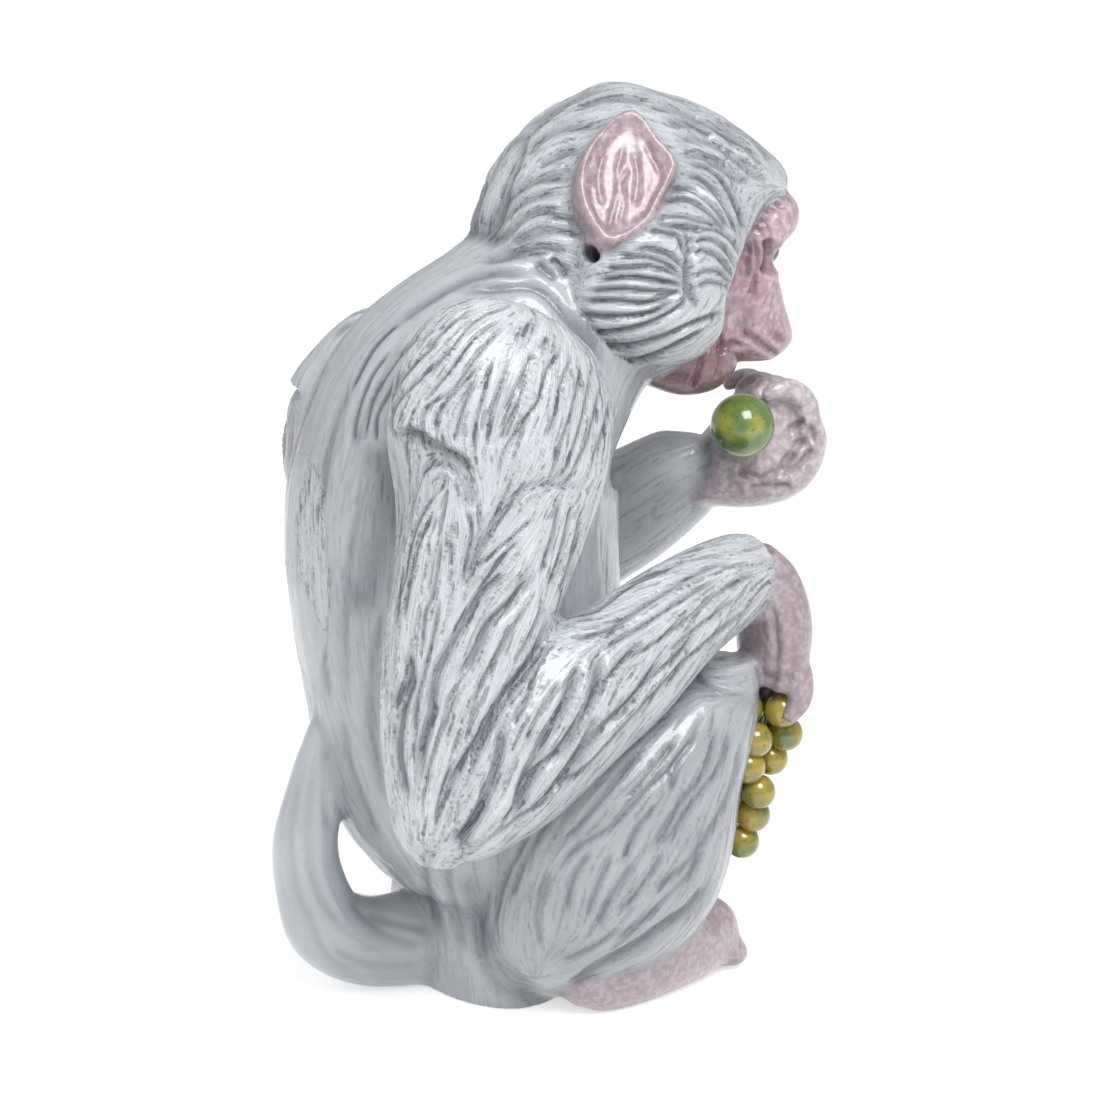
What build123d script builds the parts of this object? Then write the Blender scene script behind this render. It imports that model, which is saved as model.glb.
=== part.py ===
# Glazed ceramic monkey, squatting with a grape at its mouth and a bunch of grapes at its knee.
# Slip-cast hollow body and head, with hand-moulded limbs, ears, face, tail and fruit luted on.
# Millimetres, +Z up. The monkey faces -Y and its right side is -X.
import os
from math import cos, radians, sin

from build123d import *

# Overall sizes
figure_height = 293.0
figure_depth = 200.0
figure_width = 168.0

# Body sizes
torso_breadth = 108.0
torso_thickness = 108.0
wall = 5.5
base_drain_radius = 6.0

# Head sizes
head_breadth = 76.0
head_height = 100.0
ruff_thickness = 38.0
ruff_height = 60.0
face_breadth = 50.0
face_thickness = 44.0
jaw_breadth = 32.0
jaw_thickness = 27.0
eye_radius = 4.6
ear_length = 44.0
ear_breadth = 34.0
ear_thickness = 5.0
ear_rim = 3.4
ear_root = 16.0
vent_radius = 2.0

# Limb sizes
arm_breadth = 50.0
arm_thickness = 74.0
forearm_breadth = 38.0
forearm_thickness = 50.0
valley_radius = 2.6
valley_lift = 1.2
leg_breadth = 64.0
leg_thickness = 92.0
foot_breadth = 30.0
foot_thickness = 32.0
toe_radius = 5.2
toe_length = 8.0
tail_thickness = 32.0

# Hand sizes
palm_breadth = 36.0
palm_thickness = 25.0
finger_radius = 4.4

# Fruit sizes
held_grape_radius = 10.8
grape_radius = 5.8
stem_radius = 1.6


# Places are shares of the overall sizes, measured from the middle of the base.
def spot(share):
    return Vector(share[0] * figure_width, share[1] * figure_depth, share[2] * figure_height)


# Eight points round an oval, as shares of its half breadth and half thickness
oval_shares = [(cos(radians(turn)), sin(radians(turn))) for turn in range(0, 360, 45)]


# A plane square to a line of centres, with its X axis kept level across the body
def crossing_plane(centres, index):
    before = centres[max(index - 1, 0)]
    after = centres[min(index + 1, len(centres) - 1)]
    along = (after - before).normalized()
    side = Vector(1, 0, 0)
    side = (side - along * side.dot(along)).normalized()
    return Plane(centres[index], x_dir=side, z_dir=along)


def level_plane(centres, index):
    return Plane(centres[index])


def upright_plane(centres, index):
    return Plane(centres[index], x_dir=(1, 0, 0), z_dir=(0, -1, 0))


# A smooth closed oval section on a plane
def oval_section(plane, half_breadth, half_thickness):
    with BuildSketch(plane) as section:
        with BuildLine():
            Spline(*[(x * half_breadth, y * half_thickness) for x, y in oval_shares], periodic=True)
        make_face()
    return section.sketch


# A rounded body through oval sections. Each row of shares is x, y, z, then half breadth
# and half thickness. An inset draws the hollow inside a cast wall.
def rounded(rows_share, breadth, thickness, plane_at=crossing_plane, inset=0.0):
    centres = [spot(row[:3]) for row in rows_share]
    sections = [
        oval_section(plane_at(centres, index), row[3] * breadth - inset, row[4] * thickness - inset)
        for index, row in enumerate(rows_share)
    ]
    with BuildPart() as form:
        loft(sections)
    return form.part


# Thickness of a finger or toe at its root, joints and tip
digit_shares = (0.95, 1.0, 0.92, 0.50)


# A finger or toe: round sections along a bent line of four points
def digit(points, radius):
    sections = [
        oval_section(crossing_plane(points, index), share * radius, share * radius)
        for index, share in enumerate(digit_shares)
    ]
    with BuildPart() as form:
        loft(sections)
    return form.part


# A place on a rounded body's skin: a share of the way along it and a turn round it, lifted off it a little
def skin_place(rows_share, breadth, thickness, along, turn):
    centres = [spot(row[:3]) for row in rows_share]
    step = along * (len(rows_share) - 1)
    index = min(int(step), len(rows_share) - 2)
    ends = []
    for row_index in (index, index + 1):
        row = rows_share[row_index]
        plane = crossing_plane(centres, row_index)
        across = plane.x_dir * (cos(radians(turn)) * (row[3] * breadth + valley_lift))
        upward = plane.y_dir * (sin(radians(turn)) * (row[4] * thickness + valley_lift))
        ends.append(plane.origin + across + upward)
    return ends[0] + (ends[1] - ends[0]) * (step - index)


# Cutters for the main valleys between the locks of hair on an arm, one for each path over its skin
def valleys(rows_share, breadth, thickness, paths):
    cutters = []
    for path in paths:
        places = [skin_place(rows_share, breadth, thickness, along, turn) for along, turn in path]
        sections = []
        for index, place in enumerate(places):
            radius = valley_radius * (0.5 if place in (places[0], places[-1]) else 1.0)
            sections.append(oval_section(crossing_plane(places, index), radius, radius))
        with BuildPart() as cutter:
            loft(sections)
        cutters.append(cutter.part)
    return cutters


# Torso with the neck, from the base up to inside the head
torso_shares = [
    (0.0, 0.160, -0.020, 0.370, 0.200),
    (0.0, 0.150, 0.034, 0.410, 0.265),
    (0.0, 0.122, 0.100, 0.440, 0.320),
    (0.0, 0.128, 0.170, 0.480, 0.410),
    (0.0, 0.156, 0.260, 0.500, 0.480),
    (0.0, 0.180, 0.370, 0.480, 0.495),
    (0.0, 0.196, 0.480, 0.480, 0.505),
    (0.0, 0.192, 0.565, 0.500, 0.495),
    (0.0, 0.158, 0.640, 0.490, 0.455),
    (0.0, 0.062, 0.712, 0.370, 0.385),
    (0.0, -0.030, 0.770, 0.280, 0.333),
]
torso_form = rounded(torso_shares, torso_breadth, torso_thickness)
torso_hollow = rounded(torso_shares[1:-1], torso_breadth, torso_thickness, inset=wall)

with BuildPart() as torso_shell:
    add(torso_form)
    add(torso_hollow, mode=Mode.SUBTRACT)
    with Locations(spot(torso_shares[1][:3])):
        Cylinder(base_drain_radius, figure_height * torso_shares[3][2], mode=Mode.SUBTRACT)
    split(bisect_by=Plane.XY, keep=Keep.TOP)
torso_shell.part.label = "torso_shell"

# Folded legs, each one mass from the buttock up to the knee
leg_shares = [
    (-0.180, 0.082, 0.006, 0.19, 0.200),
    (-0.214, 0.072, 0.030, 0.29, 0.300),
    (-0.250, 0.047, 0.082, 0.45, 0.410),
    (-0.268, 0.022, 0.154, 0.50, 0.445),
    (-0.274, 0.002, 0.240, 0.47, 0.445),
    (-0.280, -0.062, 0.307, 0.39, 0.360),
    (-0.286, -0.128, 0.352, 0.30, 0.220),
    (-0.286, -0.168, 0.380, 0.17, 0.120),
]
leg_form = rounded(leg_shares, leg_breadth, leg_thickness, level_plane)
leg_form_left = leg_form.mirror(Plane.YZ)

with BuildPart() as leg_right:
    add(leg_form)
    add(torso_form, mode=Mode.SUBTRACT)
leg_right.part.label = "leg_right"

with BuildPart() as leg_left:
    add(leg_form_left)
    add(torso_form, mode=Mode.SUBTRACT)
leg_left.part.label = "leg_left"

# Head, in upright sections from the nape to the brow
head_shares = [
    (0.0, 0.156, 0.792, 0.09, 0.07),
    (0.0, 0.124, 0.810, 0.26, 0.23),
    (0.0, 0.060, 0.820, 0.38, 0.385),
    (0.0, -0.068, 0.833, 0.48, 0.49),
    (0.0, -0.178, 0.834, 0.50, 0.455),
    (0.0, -0.230, 0.860, 0.47, 0.345),
    (0.0, -0.290, 0.892, 0.41, 0.19),
    (0.0, -0.348, 0.892, 0.31, 0.10),
    (0.0, -0.384, 0.886, 0.15, 0.04),
]
head_form = rounded(head_shares, head_breadth, head_height, upright_plane)
head_hollow = rounded(head_shares[2:-2], head_breadth, head_height, upright_plane, wall)
vent_share = (-0.220, 0.030, 0.826)
eye_shares = [(-0.057, -0.350, 0.812), (0.057, -0.350, 0.812)]

with BuildPart() as vent:
    with Locations(Plane(spot(vent_share), z_dir=(1, 0, 0))):
        Cylinder(vent_radius, head_breadth / 2)

with BuildPart() as eye_right:
    with Locations(spot(eye_shares[0])):
        Sphere(eye_radius)
eye_right.part.label = "eye_right"

with BuildPart() as eye_left:
    with Locations(spot(eye_shares[1])):
        Sphere(eye_radius)
eye_left.part.label = "eye_left"
eyes = [eye_right.part, eye_left.part]

with BuildPart() as head_shell:
    add(head_form)
    add(head_hollow, mode=Mode.SUBTRACT)
    add([torso_form, vent.part] + eyes, mode=Mode.SUBTRACT)
head_shell.part.label = "head_shell"

# Cheek ruffs, puffed out behind the face
ruff_shares = [
    (-0.161, 0.038, 0.758, 0.12, 0.10),
    (-0.178, 0.006, 0.768, 0.34, 0.27),
    (-0.180, -0.048, 0.782, 0.47, 0.43),
    (-0.176, -0.100, 0.797, 0.49, 0.50),
    (-0.168, -0.160, 0.816, 0.43, 0.43),
    (-0.156, -0.204, 0.816, 0.33, 0.34),
    (-0.148, -0.228, 0.808, 0.16, 0.18),
]
ruff_form = rounded(ruff_shares, ruff_thickness, ruff_height)
ruff_form_left = ruff_form.mirror(Plane.YZ)

with BuildPart() as cheek_ruff_right:
    add(ruff_form)
    add([head_form, torso_form, vent.part], mode=Mode.SUBTRACT)
cheek_ruff_right.part.label = "cheek_ruff_right"

with BuildPart() as cheek_ruff_left:
    add(ruff_form_left)
    add([head_form, torso_form], mode=Mode.SUBTRACT)
cheek_ruff_left.part.label = "cheek_ruff_left"

# Face, in level sections from the brow ridge over the eye hollows down to the muzzle
face_shares = [
    (0.0, -0.345, 0.884, 0.30, 0.20),
    (0.0, -0.330, 0.864, 0.50, 0.36),
    (0.0, -0.320, 0.838, 0.53, 0.39),
    (0.0, -0.302, 0.809, 0.50, 0.32),
    (0.0, -0.298, 0.782, 0.46, 0.37),
    (0.0, -0.303, 0.747, 0.42, 0.44),
    (0.0, -0.312, 0.713, 0.35, 0.50),
    (0.0, -0.318, 0.694, 0.30, 0.45),
    (0.0, -0.318, 0.680, 0.20, 0.27),
]
face_form = rounded(face_shares, face_breadth, face_thickness, level_plane)

with BuildPart() as face_cut:
    add(face_form)
    add([head_form, ruff_form, ruff_form_left] + eyes, mode=Mode.SUBTRACT)

with BuildPart() as face:
    add(face_cut.part.solids().sort_by(Axis.Y)[0])
face.part.label = "face"

# Lower jaw, tucked behind the overhanging muzzle
jaw_shares = [
    (0.0, -0.148, 0.704, 0.42, 0.42),
    (0.0, -0.220, 0.694, 0.52, 0.50),
    (0.0, -0.275, 0.688, 0.47, 0.44),
    (0.0, -0.312, 0.684, 0.32, 0.28),
    (0.0, -0.328, 0.681, 0.14, 0.12),
]

with BuildPart() as lower_jaw:
    add(rounded(jaw_shares, jaw_breadth, jaw_thickness))
    for neighbour in [head_form, torso_form, face_form, ruff_form, ruff_form_left]:
        add(neighbour, mode=Mode.SUBTRACT)
lower_jaw.part.label = "lower_jaw"

solids = [
    torso_shell, leg_right, leg_left, head_shell, cheek_ruff_right, cheek_ruff_left,
    eye_right, eye_left, face, lower_jaw,
]

# Ears: a pointed dish on a root that widens towards the head
ear_back_shares = [(-0.29, -0.48), (-0.45, -0.27), (-0.48, -0.01), (-0.26, 0.30), (0.17, 0.51)]
ear_front_shares = [(0.39, 0.24), (0.50, 0.05), (0.29, -0.18), (0.08, -0.38)]
ear_middle_share = (0.0, -0.028, 0.832)
ear_out_share = 0.447
ear_up_share = 0.206
ear_facing_share = (-0.86, 0.28, 0.42)


# The ear's outline on a plane, drawn in or out by an inset
def ear_outline(plane, inset=0.0):
    length = ear_length - 2 * inset
    breadth = ear_breadth - 2 * inset
    back = [(x * breadth, y * length) for x, y in ear_back_shares]
    front = [(x * breadth, y * length) for x, y in ear_front_shares]
    with BuildSketch(plane) as outline:
        with BuildLine():
            Spline(*back)
            Spline(back[-1], *front, back[0])
        make_face()
    return outline.sketch


ear_place = spot(ear_middle_share) + Vector(-ear_out_share * head_breadth, 0, ear_up_share * head_height)
ear_plane = Plane(ear_place, x_dir=(0, -1, 0), z_dir=ear_facing_share)

with BuildPart() as ear_form:
    loft([ear_outline(ear_plane.offset(-ear_root), -ear_rim), ear_outline(ear_plane)])
    extrude(ear_outline(ear_plane), amount=ear_thickness)
    extrude(ear_outline(ear_plane, ear_rim), amount=ear_thickness, mode=Mode.SUBTRACT)

with BuildPart() as ear_right:
    add(ear_form.part)
    add([head_form, ruff_form, vent.part], mode=Mode.SUBTRACT)
ear_right.part.label = "ear_right"

with BuildPart() as ear_left:
    add(ear_form.part.mirror(Plane.YZ))
    add([head_form, ruff_form_left], mode=Mode.SUBTRACT)
ear_left.part.label = "ear_left"
solids += [ear_right, ear_left]

# Right arm, elbow drawn back and out beside the waist
upper_arm_right_shares = [
    (-0.238, 0.192, 0.775, 0.16, 0.16),
    (-0.256, 0.202, 0.750, 0.36, 0.35),
    (-0.278, 0.212, 0.703, 0.46, 0.46),
    (-0.298, 0.222, 0.635, 0.48, 0.49),
    (-0.321, 0.246, 0.563, 0.46, 0.42),
    (-0.350, 0.280, 0.495, 0.40, 0.37),
    (-0.376, 0.317, 0.403, 0.36, 0.35),
    (-0.406, 0.348, 0.314, 0.32, 0.29),
    (-0.428, 0.372, 0.249, 0.24, 0.20),
    (-0.436, 0.382, 0.218, 0.10, 0.08),
]
forearm_right_shares = [
    (-0.436, 0.394, 0.236, 0.14, 0.14),
    (-0.430, 0.350, 0.263, 0.36, 0.32),
    (-0.420, 0.270, 0.311, 0.47, 0.47),
    (-0.402, 0.164, 0.365, 0.50, 0.50),
    (-0.384, 0.057, 0.399, 0.45, 0.44),
    (-0.356, -0.060, 0.444, 0.39, 0.36),
    (-0.322, -0.166, 0.469, 0.34, 0.31),
    (-0.300, -0.222, 0.474, 0.29, 0.26),
]
head_and_body = [torso_form, head_form, ruff_form]

# Valleys under the shoulder cap and between the tufts: share of the arm's length, and turn round it
upper_arm_paths = [
    [(0.32, 254), (0.33, 240), (0.35, 229), (0.38, 221)],
    [(0.38, 150), (0.39, 174), (0.43, 188), (0.50, 196)],
    [(0.44, 217), (0.53, 213), (0.62, 214), (0.70, 220), (0.80, 224)],
    [(0.56, 183), (0.61, 195), (0.69, 200), (0.78, 201)],
    [(0.62, 160), (0.70, 166), (0.78, 176), (0.86, 184)],
]
forearm_paths = [
    [(0.50, 147), (0.43, 168), (0.34, 172), (0.20, 184)],
    [(0.68, 165), (0.54, 180), (0.43, 189), (0.28, 200)],
    [(0.80, 140), (0.66, 130), (0.52, 128), (0.40, 136)],
]
upper_arm_paths_left = [[(along, 180 - turn) for along, turn in path] for path in upper_arm_paths]
forearm_paths_left = [[(along, 180 - turn) for along, turn in path] for path in forearm_paths]

with BuildPart() as upper_arm_right:
    add(rounded(upper_arm_right_shares, arm_breadth, arm_thickness))
    add(valleys(upper_arm_right_shares, arm_breadth, arm_thickness, upper_arm_paths), mode=Mode.SUBTRACT)
    add(head_and_body + [leg_form], mode=Mode.SUBTRACT)
upper_arm_right.part.label = "upper_arm_right"

with BuildPart() as forearm_right:
    add(rounded(forearm_right_shares, forearm_breadth, forearm_thickness))
    add(valleys(forearm_right_shares, forearm_breadth, forearm_thickness, forearm_paths), mode=Mode.SUBTRACT)
    add([torso_form, leg_form, upper_arm_right.part], mode=Mode.SUBTRACT)
forearm_right.part.label = "forearm_right"
solids += [upper_arm_right, forearm_right]

# Right hand, hung over the knee with the fingers closed on the bunch
palm_right_shares = [
    (-0.302, -0.210, 0.474, 0.32, 0.48),
    (-0.298, -0.244, 0.456, 0.42, 0.44),
    (-0.292, -0.264, 0.418, 0.50, 0.40),
    (-0.286, -0.264, 0.372, 0.48, 0.36),
    (-0.282, -0.256, 0.345, 0.38, 0.24),
]
# Each finger runs through four points: across the palm, then out and down
finger_row_shares = (-0.375, -0.125, 0.125, 0.375)
finger_path_right_shares = [(-0.260, 0.392), (-0.278, 0.362), (-0.278, 0.334), (-0.258, 0.312)]

with BuildPart() as hand_right:
    add(rounded(palm_right_shares, palm_breadth, palm_thickness))
    for row in finger_row_shares:
        places = [
            spot((palm_right_shares[3][0], y, z)) + Vector(row * palm_breadth, 0, 0)
            for y, z in finger_path_right_shares
        ]
        add(digit(places, finger_radius))
    add([leg_form, forearm_right.part], mode=Mode.SUBTRACT)
hand_right.part.label = "hand_right"
solids += [hand_right]

# Left arm, elbow forward on the left knee
upper_arm_left_shares = [
    (0.240, 0.188, 0.735, 0.14, 0.12),
    (0.256, 0.200, 0.712, 0.30, 0.27),
    (0.274, 0.214, 0.672, 0.40, 0.38),
    (0.286, 0.228, 0.620, 0.45, 0.45),
    (0.304, 0.214, 0.560, 0.46, 0.46),
    (0.336, 0.150, 0.508, 0.42, 0.39),
    (0.372, 0.080, 0.461, 0.38, 0.32),
    (0.404, 0.012, 0.417, 0.34, 0.26),
    (0.424, -0.038, 0.380, 0.27, 0.19),
    (0.432, -0.070, 0.358, 0.12, 0.08),
]
forearm_left_shares = [
    (0.428, -0.010, 0.364, 0.14, 0.14),
    (0.404, -0.058, 0.388, 0.36, 0.30),
    (0.342, -0.112, 0.424, 0.44, 0.42),
    (0.268, -0.168, 0.466, 0.43, 0.45),
    (0.192, -0.222, 0.505, 0.40, 0.43),
    (0.125, -0.268, 0.540, 0.36, 0.39),
    (0.077, -0.300, 0.563, 0.33, 0.34),
]

with BuildPart() as upper_arm_left:
    add(rounded(upper_arm_left_shares, arm_breadth, arm_thickness))
    add(valleys(upper_arm_left_shares, arm_breadth, arm_thickness, upper_arm_paths_left), mode=Mode.SUBTRACT)
    add([torso_form, head_form, ruff_form_left, leg_form_left], mode=Mode.SUBTRACT)
upper_arm_left.part.label = "upper_arm_left"

with BuildPart() as forearm_left:
    add(rounded(forearm_left_shares, forearm_breadth, forearm_thickness))
    add(valleys(forearm_left_shares, forearm_breadth, forearm_thickness, forearm_paths_left), mode=Mode.SUBTRACT)
    add([torso_form, leg_left.part, upper_arm_left.part], mode=Mode.SUBTRACT)
forearm_left.part.label = "forearm_left"
solids += [upper_arm_left, forearm_left]

# Held grape, and the left hand curled round it in front of the mouth
held_grape_share = (-0.060, -0.310, 0.613)

with BuildPart() as held_grape:
    with Locations(spot(held_grape_share)):
        Sphere(held_grape_radius)
held_grape.part.label = "held_grape"

palm_left_shares = [
    (0.077, -0.296, 0.560, 0.35, 0.60),
    (0.062, -0.366, 0.545, 0.43, 0.50),
    (0.048, -0.424, 0.552, 0.50, 0.48),
    (0.036, -0.448, 0.586, 0.50, 0.44),
    (0.026, -0.432, 0.622, 0.42, 0.32),
]
finger_path_left_shares = [(-0.446, 0.600), (-0.432, 0.636), (-0.390, 0.652), (-0.348, 0.643)]

with BuildPart() as hand_left:
    add(rounded(palm_left_shares, palm_breadth, palm_thickness))
    for row in finger_row_shares:
        places = [
            spot((palm_left_shares[4][0], y, z)) + Vector(row * palm_breadth, 0, 0)
            for y, z in finger_path_left_shares
        ]
        add(digit(places, finger_radius))
    add([held_grape.part, forearm_left.part, face_form, lower_jaw.part], mode=Mode.SUBTRACT)
hand_left.part.label = "hand_left"
solids += [held_grape, hand_left]

# Feet, toes turned in
foot_shares = [
    (-0.312, 0.118, 0.027, 0.20, 0.22),
    (-0.304, 0.082, 0.038, 0.38, 0.38),
    (-0.284, 0.002, 0.044, 0.46, 0.47),
    (-0.252, -0.074, 0.048, 0.50, 0.50),
    (-0.218, -0.134, 0.044, 0.50, 0.47),
    (-0.192, -0.172, 0.040, 0.49, 0.41),
    (-0.174, -0.200, 0.036, 0.45, 0.34),
]
toe_row_shares = (-0.36, -0.18, 0.0, 0.18, 0.36)
toe_step_shares = (-0.40, 0.10, 0.50, 0.75)

with BuildPart() as foot_right:
    add(rounded(foot_shares, foot_breadth, foot_thickness))
    ball = spot(foot_shares[-1][:3])
    ahead = (ball - spot(foot_shares[-2][:3])).normalized()
    ahead = Vector(ahead.X, ahead.Y, 0).normalized()
    beside = Vector(-ahead.Y, ahead.X, 0)
    for row in toe_row_shares:
        root = Vector(ball.X, ball.Y, toe_radius) + beside * (row * foot_breadth)
        places = [root + ahead * (step * toe_length) for step in toe_step_shares]
        add(digit(places, toe_radius))
    split(bisect_by=Plane.XY, keep=Keep.TOP)
    foot_form = foot_right.part
    add([leg_form, torso_form], mode=Mode.SUBTRACT)
foot_right.part.label = "foot_right"

with BuildPart() as foot_left:
    add(foot_form.mirror(Plane.YZ))
    add([leg_form_left, torso_form], mode=Mode.SUBTRACT)
foot_left.part.label = "foot_left"
solids += [foot_right, foot_left]

# Tail, out between the buttocks and curled up to lie against the back
tail_shares = [
    (-0.018, 0.220, 0.053, 0.53, 0.53),
    (-0.012, 0.300, 0.050, 0.49, 0.49),
    (0.000, 0.365, 0.053, 0.46, 0.46),
    (0.006, 0.424, 0.078, 0.43, 0.43),
    (0.006, 0.452, 0.130, 0.36, 0.36),
    (0.006, 0.458, 0.178, 0.33, 0.33),
    (0.006, 0.442, 0.226, 0.31, 0.31),
    (0.000, 0.422, 0.274, 0.28, 0.28),
    (0.000, 0.407, 0.314, 0.22, 0.22),
    (0.000, 0.397, 0.344, 0.12, 0.12),
]

with BuildPart() as tail:
    add(rounded(tail_shares, tail_thickness, tail_thickness))
    add([torso_form, leg_right.part, leg_left.part], mode=Mode.SUBTRACT)
    split(bisect_by=Plane.XY, keep=Keep.TOP)
tail.part.label = "tail"
solids += [tail]

# Bunch of grapes: tiers of grapes round a stem that leans on the shin
stem_top_share = (-0.280, -0.262, 0.326)
stem_low_share = (-0.275, -0.198, 0.176)
# Each tier: place down the stem, ring radius in grape radii, count, and turn
tier_shares = [
    (0.05, 1.45, 4, 0.10),
    (0.26, 1.55, 4, 0.60),
    (0.47, 1.25, 3, 0.20),
    (0.68, 1.10, 3, 0.70),
    (0.88, 1.02, 2, 0.35),
    (1.10, 1.00, 1, 0.75),
]

with BuildPart() as bunch_stem:
    stem_top = spot(stem_top_share)
    stem_low = spot(stem_low_share)
    with BuildSketch(Plane(stem_top, z_dir=stem_low - stem_top)):
        Circle(stem_radius)
    extrude(amount=(stem_low - stem_top).length)
    add([hand_right.part, leg_form], mode=Mode.SUBTRACT)
bunch_stem.part.label = "bunch_stem"
solids += [bunch_stem]

grape_lean = (25, 35, 20)
grape_centres = []
for down, ring, count, turn in tier_shares:
    for index in range(count):
        angle = radians(360 * (index + turn) / count)
        reach = Vector(cos(angle), sin(angle), 0) * (ring * grape_radius)
        grape_centres.append(stem_top + (stem_low - stem_top) * down + reach)

# Grapes that were pressed together meet on a flat halfway between their centres
grapes = []
for centre in grape_centres:
    with BuildPart() as grape:
        with Locations(Location(centre, grape_lean)):
            Sphere(grape_radius)
        for neighbour in [bunch_stem, hand_right, leg_right]:
            add(neighbour.part, mode=Mode.SUBTRACT)
        for other in grape_centres:
            if 0 < (centre - other).length < 2 * grape_radius:
                split(bisect_by=Plane((centre + other) / 2, z_dir=centre - other), keep=Keep.TOP)
    grape.part.label = f"bunch_grape_{len(grapes) + 1:02d}"
    grapes.append(grape)
solids += grapes

os.makedirs("parts", exist_ok=True)
for solid in solids:
    export_step(solid.part, "parts/" + solid.part.label + ".step")
    print(solid.part.label, len(solid.part.solids()), round(solid.part.volume))
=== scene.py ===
import math

import bpy
import numpy as np
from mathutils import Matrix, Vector


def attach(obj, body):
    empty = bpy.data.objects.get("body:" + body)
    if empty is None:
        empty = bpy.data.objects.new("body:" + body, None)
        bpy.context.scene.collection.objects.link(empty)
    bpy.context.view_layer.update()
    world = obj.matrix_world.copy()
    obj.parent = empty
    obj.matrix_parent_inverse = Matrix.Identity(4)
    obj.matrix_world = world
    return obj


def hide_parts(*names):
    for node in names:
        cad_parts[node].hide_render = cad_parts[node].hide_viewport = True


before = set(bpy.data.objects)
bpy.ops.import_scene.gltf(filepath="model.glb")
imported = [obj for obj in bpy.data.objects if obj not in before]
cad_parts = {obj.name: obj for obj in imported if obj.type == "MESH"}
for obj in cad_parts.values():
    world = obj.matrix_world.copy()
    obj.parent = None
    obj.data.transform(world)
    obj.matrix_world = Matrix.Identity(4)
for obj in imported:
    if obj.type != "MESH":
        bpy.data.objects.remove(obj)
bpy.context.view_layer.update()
print("frame loaded")

# Camera, behind the monkey's right side and a little above it
cameraValues = {
    "azimuth": 245.0,
    "elevation": 12.0,
    "distance": 0.850,
    "target": (0.0, 0.0045, 0.141),
    "lens": 84.0,
    "sensor": 36.0,
    "clip": (0.01, 20.0),
}


# The way back to the camera, and right and up in its picture
def cameraFrame(values):
    around, above = math.radians(values["azimuth"]), math.radians(values["elevation"])
    back = np.array([math.sin(around) * math.cos(above), -math.cos(around) * math.cos(above), math.sin(above)])
    right = np.array([math.cos(around), math.sin(around), 0.0])
    return back, right, np.cross(back, right)


def placeAt(thing, spot, heading):
    thing.location = spot
    thing.rotation_mode = "QUATERNION"
    thing.rotation_quaternion = heading.to_track_quat("-Z", "Y")
    bpy.context.scene.collection.objects.link(thing)


def makeCamera(values):
    back = Vector(cameraFrame(values)[0])
    data = bpy.data.cameras.new("photoCamera")
    data.lens = values["lens"]
    data.sensor_width = values["sensor"]
    data.clip_start, data.clip_end = values["clip"]
    camera = bpy.data.objects.new("photoCamera", data)
    placeAt(camera, Vector(values["target"]) + back * values["distance"], -back)
    bpy.context.scene.camera = camera


makeCamera(cameraValues)
bpy.context.scene.view_settings.view_transform = "Standard"

# The clay forms. Each row is x, y, z, half breadth and half thickness, as shares of the figure and of the form.
figureSize = {"width": 0.168, "depth": 0.200, "height": 0.293}
mirror = np.array([-1.0, 1.0, 1.0])

torsoRows = [
    (0.0, 0.16, -0.02, 0.37, 0.2), (0.0, 0.15, 0.034, 0.41, 0.265), (0.0, 0.122, 0.1, 0.44, 0.32),
    (0.0, 0.128, 0.17, 0.48, 0.41), (0.0, 0.156, 0.26, 0.5, 0.48), (0.0, 0.18, 0.37, 0.48, 0.495),
    (0.0, 0.196, 0.48, 0.48, 0.505), (0.0, 0.192, 0.565, 0.5, 0.495), (0.0, 0.158, 0.64, 0.49, 0.455),
    (0.0, 0.062, 0.712, 0.37, 0.385), (0.0, -0.03, 0.77, 0.28, 0.333),
]
legRows = [
    (-0.18, 0.082, 0.006, 0.19, 0.2), (-0.214, 0.072, 0.03, 0.29, 0.3), (-0.25, 0.047, 0.082, 0.45, 0.41),
    (-0.268, 0.022, 0.154, 0.5, 0.445), (-0.274, 0.002, 0.24, 0.47, 0.445), (-0.28, -0.062, 0.307, 0.39, 0.36),
    (-0.286, -0.128, 0.352, 0.3, 0.22), (-0.286, -0.168, 0.38, 0.17, 0.12),
]
headRows = [
    (0.0, 0.156, 0.792, 0.09, 0.07), (0.0, 0.124, 0.81, 0.26, 0.23), (0.0, 0.06, 0.82, 0.38, 0.385),
    (0.0, -0.068, 0.833, 0.48, 0.49), (0.0, -0.178, 0.834, 0.5, 0.455), (0.0, -0.23, 0.86, 0.47, 0.345),
    (0.0, -0.29, 0.892, 0.41, 0.19), (0.0, -0.348, 0.892, 0.31, 0.1), (0.0, -0.384, 0.886, 0.15, 0.04),
]
ruffRows = [
    (-0.161, 0.038, 0.758, 0.12, 0.1), (-0.178, 0.006, 0.768, 0.34, 0.27), (-0.18, -0.048, 0.782, 0.47, 0.43),
    (-0.176, -0.1, 0.797, 0.49, 0.5), (-0.168, -0.16, 0.816, 0.43, 0.43), (-0.156, -0.204, 0.816, 0.33, 0.34),
    (-0.148, -0.228, 0.808, 0.16, 0.18),
]
faceRows = [
    (0.0, -0.345, 0.884, 0.3, 0.2), (0.0, -0.33, 0.864, 0.5, 0.36), (0.0, -0.32, 0.838, 0.53, 0.39),
    (0.0, -0.299, 0.809, 0.5, 0.285), (0.0, -0.298, 0.782, 0.46, 0.37), (0.0, -0.303, 0.747, 0.42, 0.44),
    (0.0, -0.312, 0.713, 0.35, 0.5), (0.0, -0.33, 0.697, 0.29, 0.37), (0.0, -0.345, 0.685, 0.18, 0.2),
]
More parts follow.
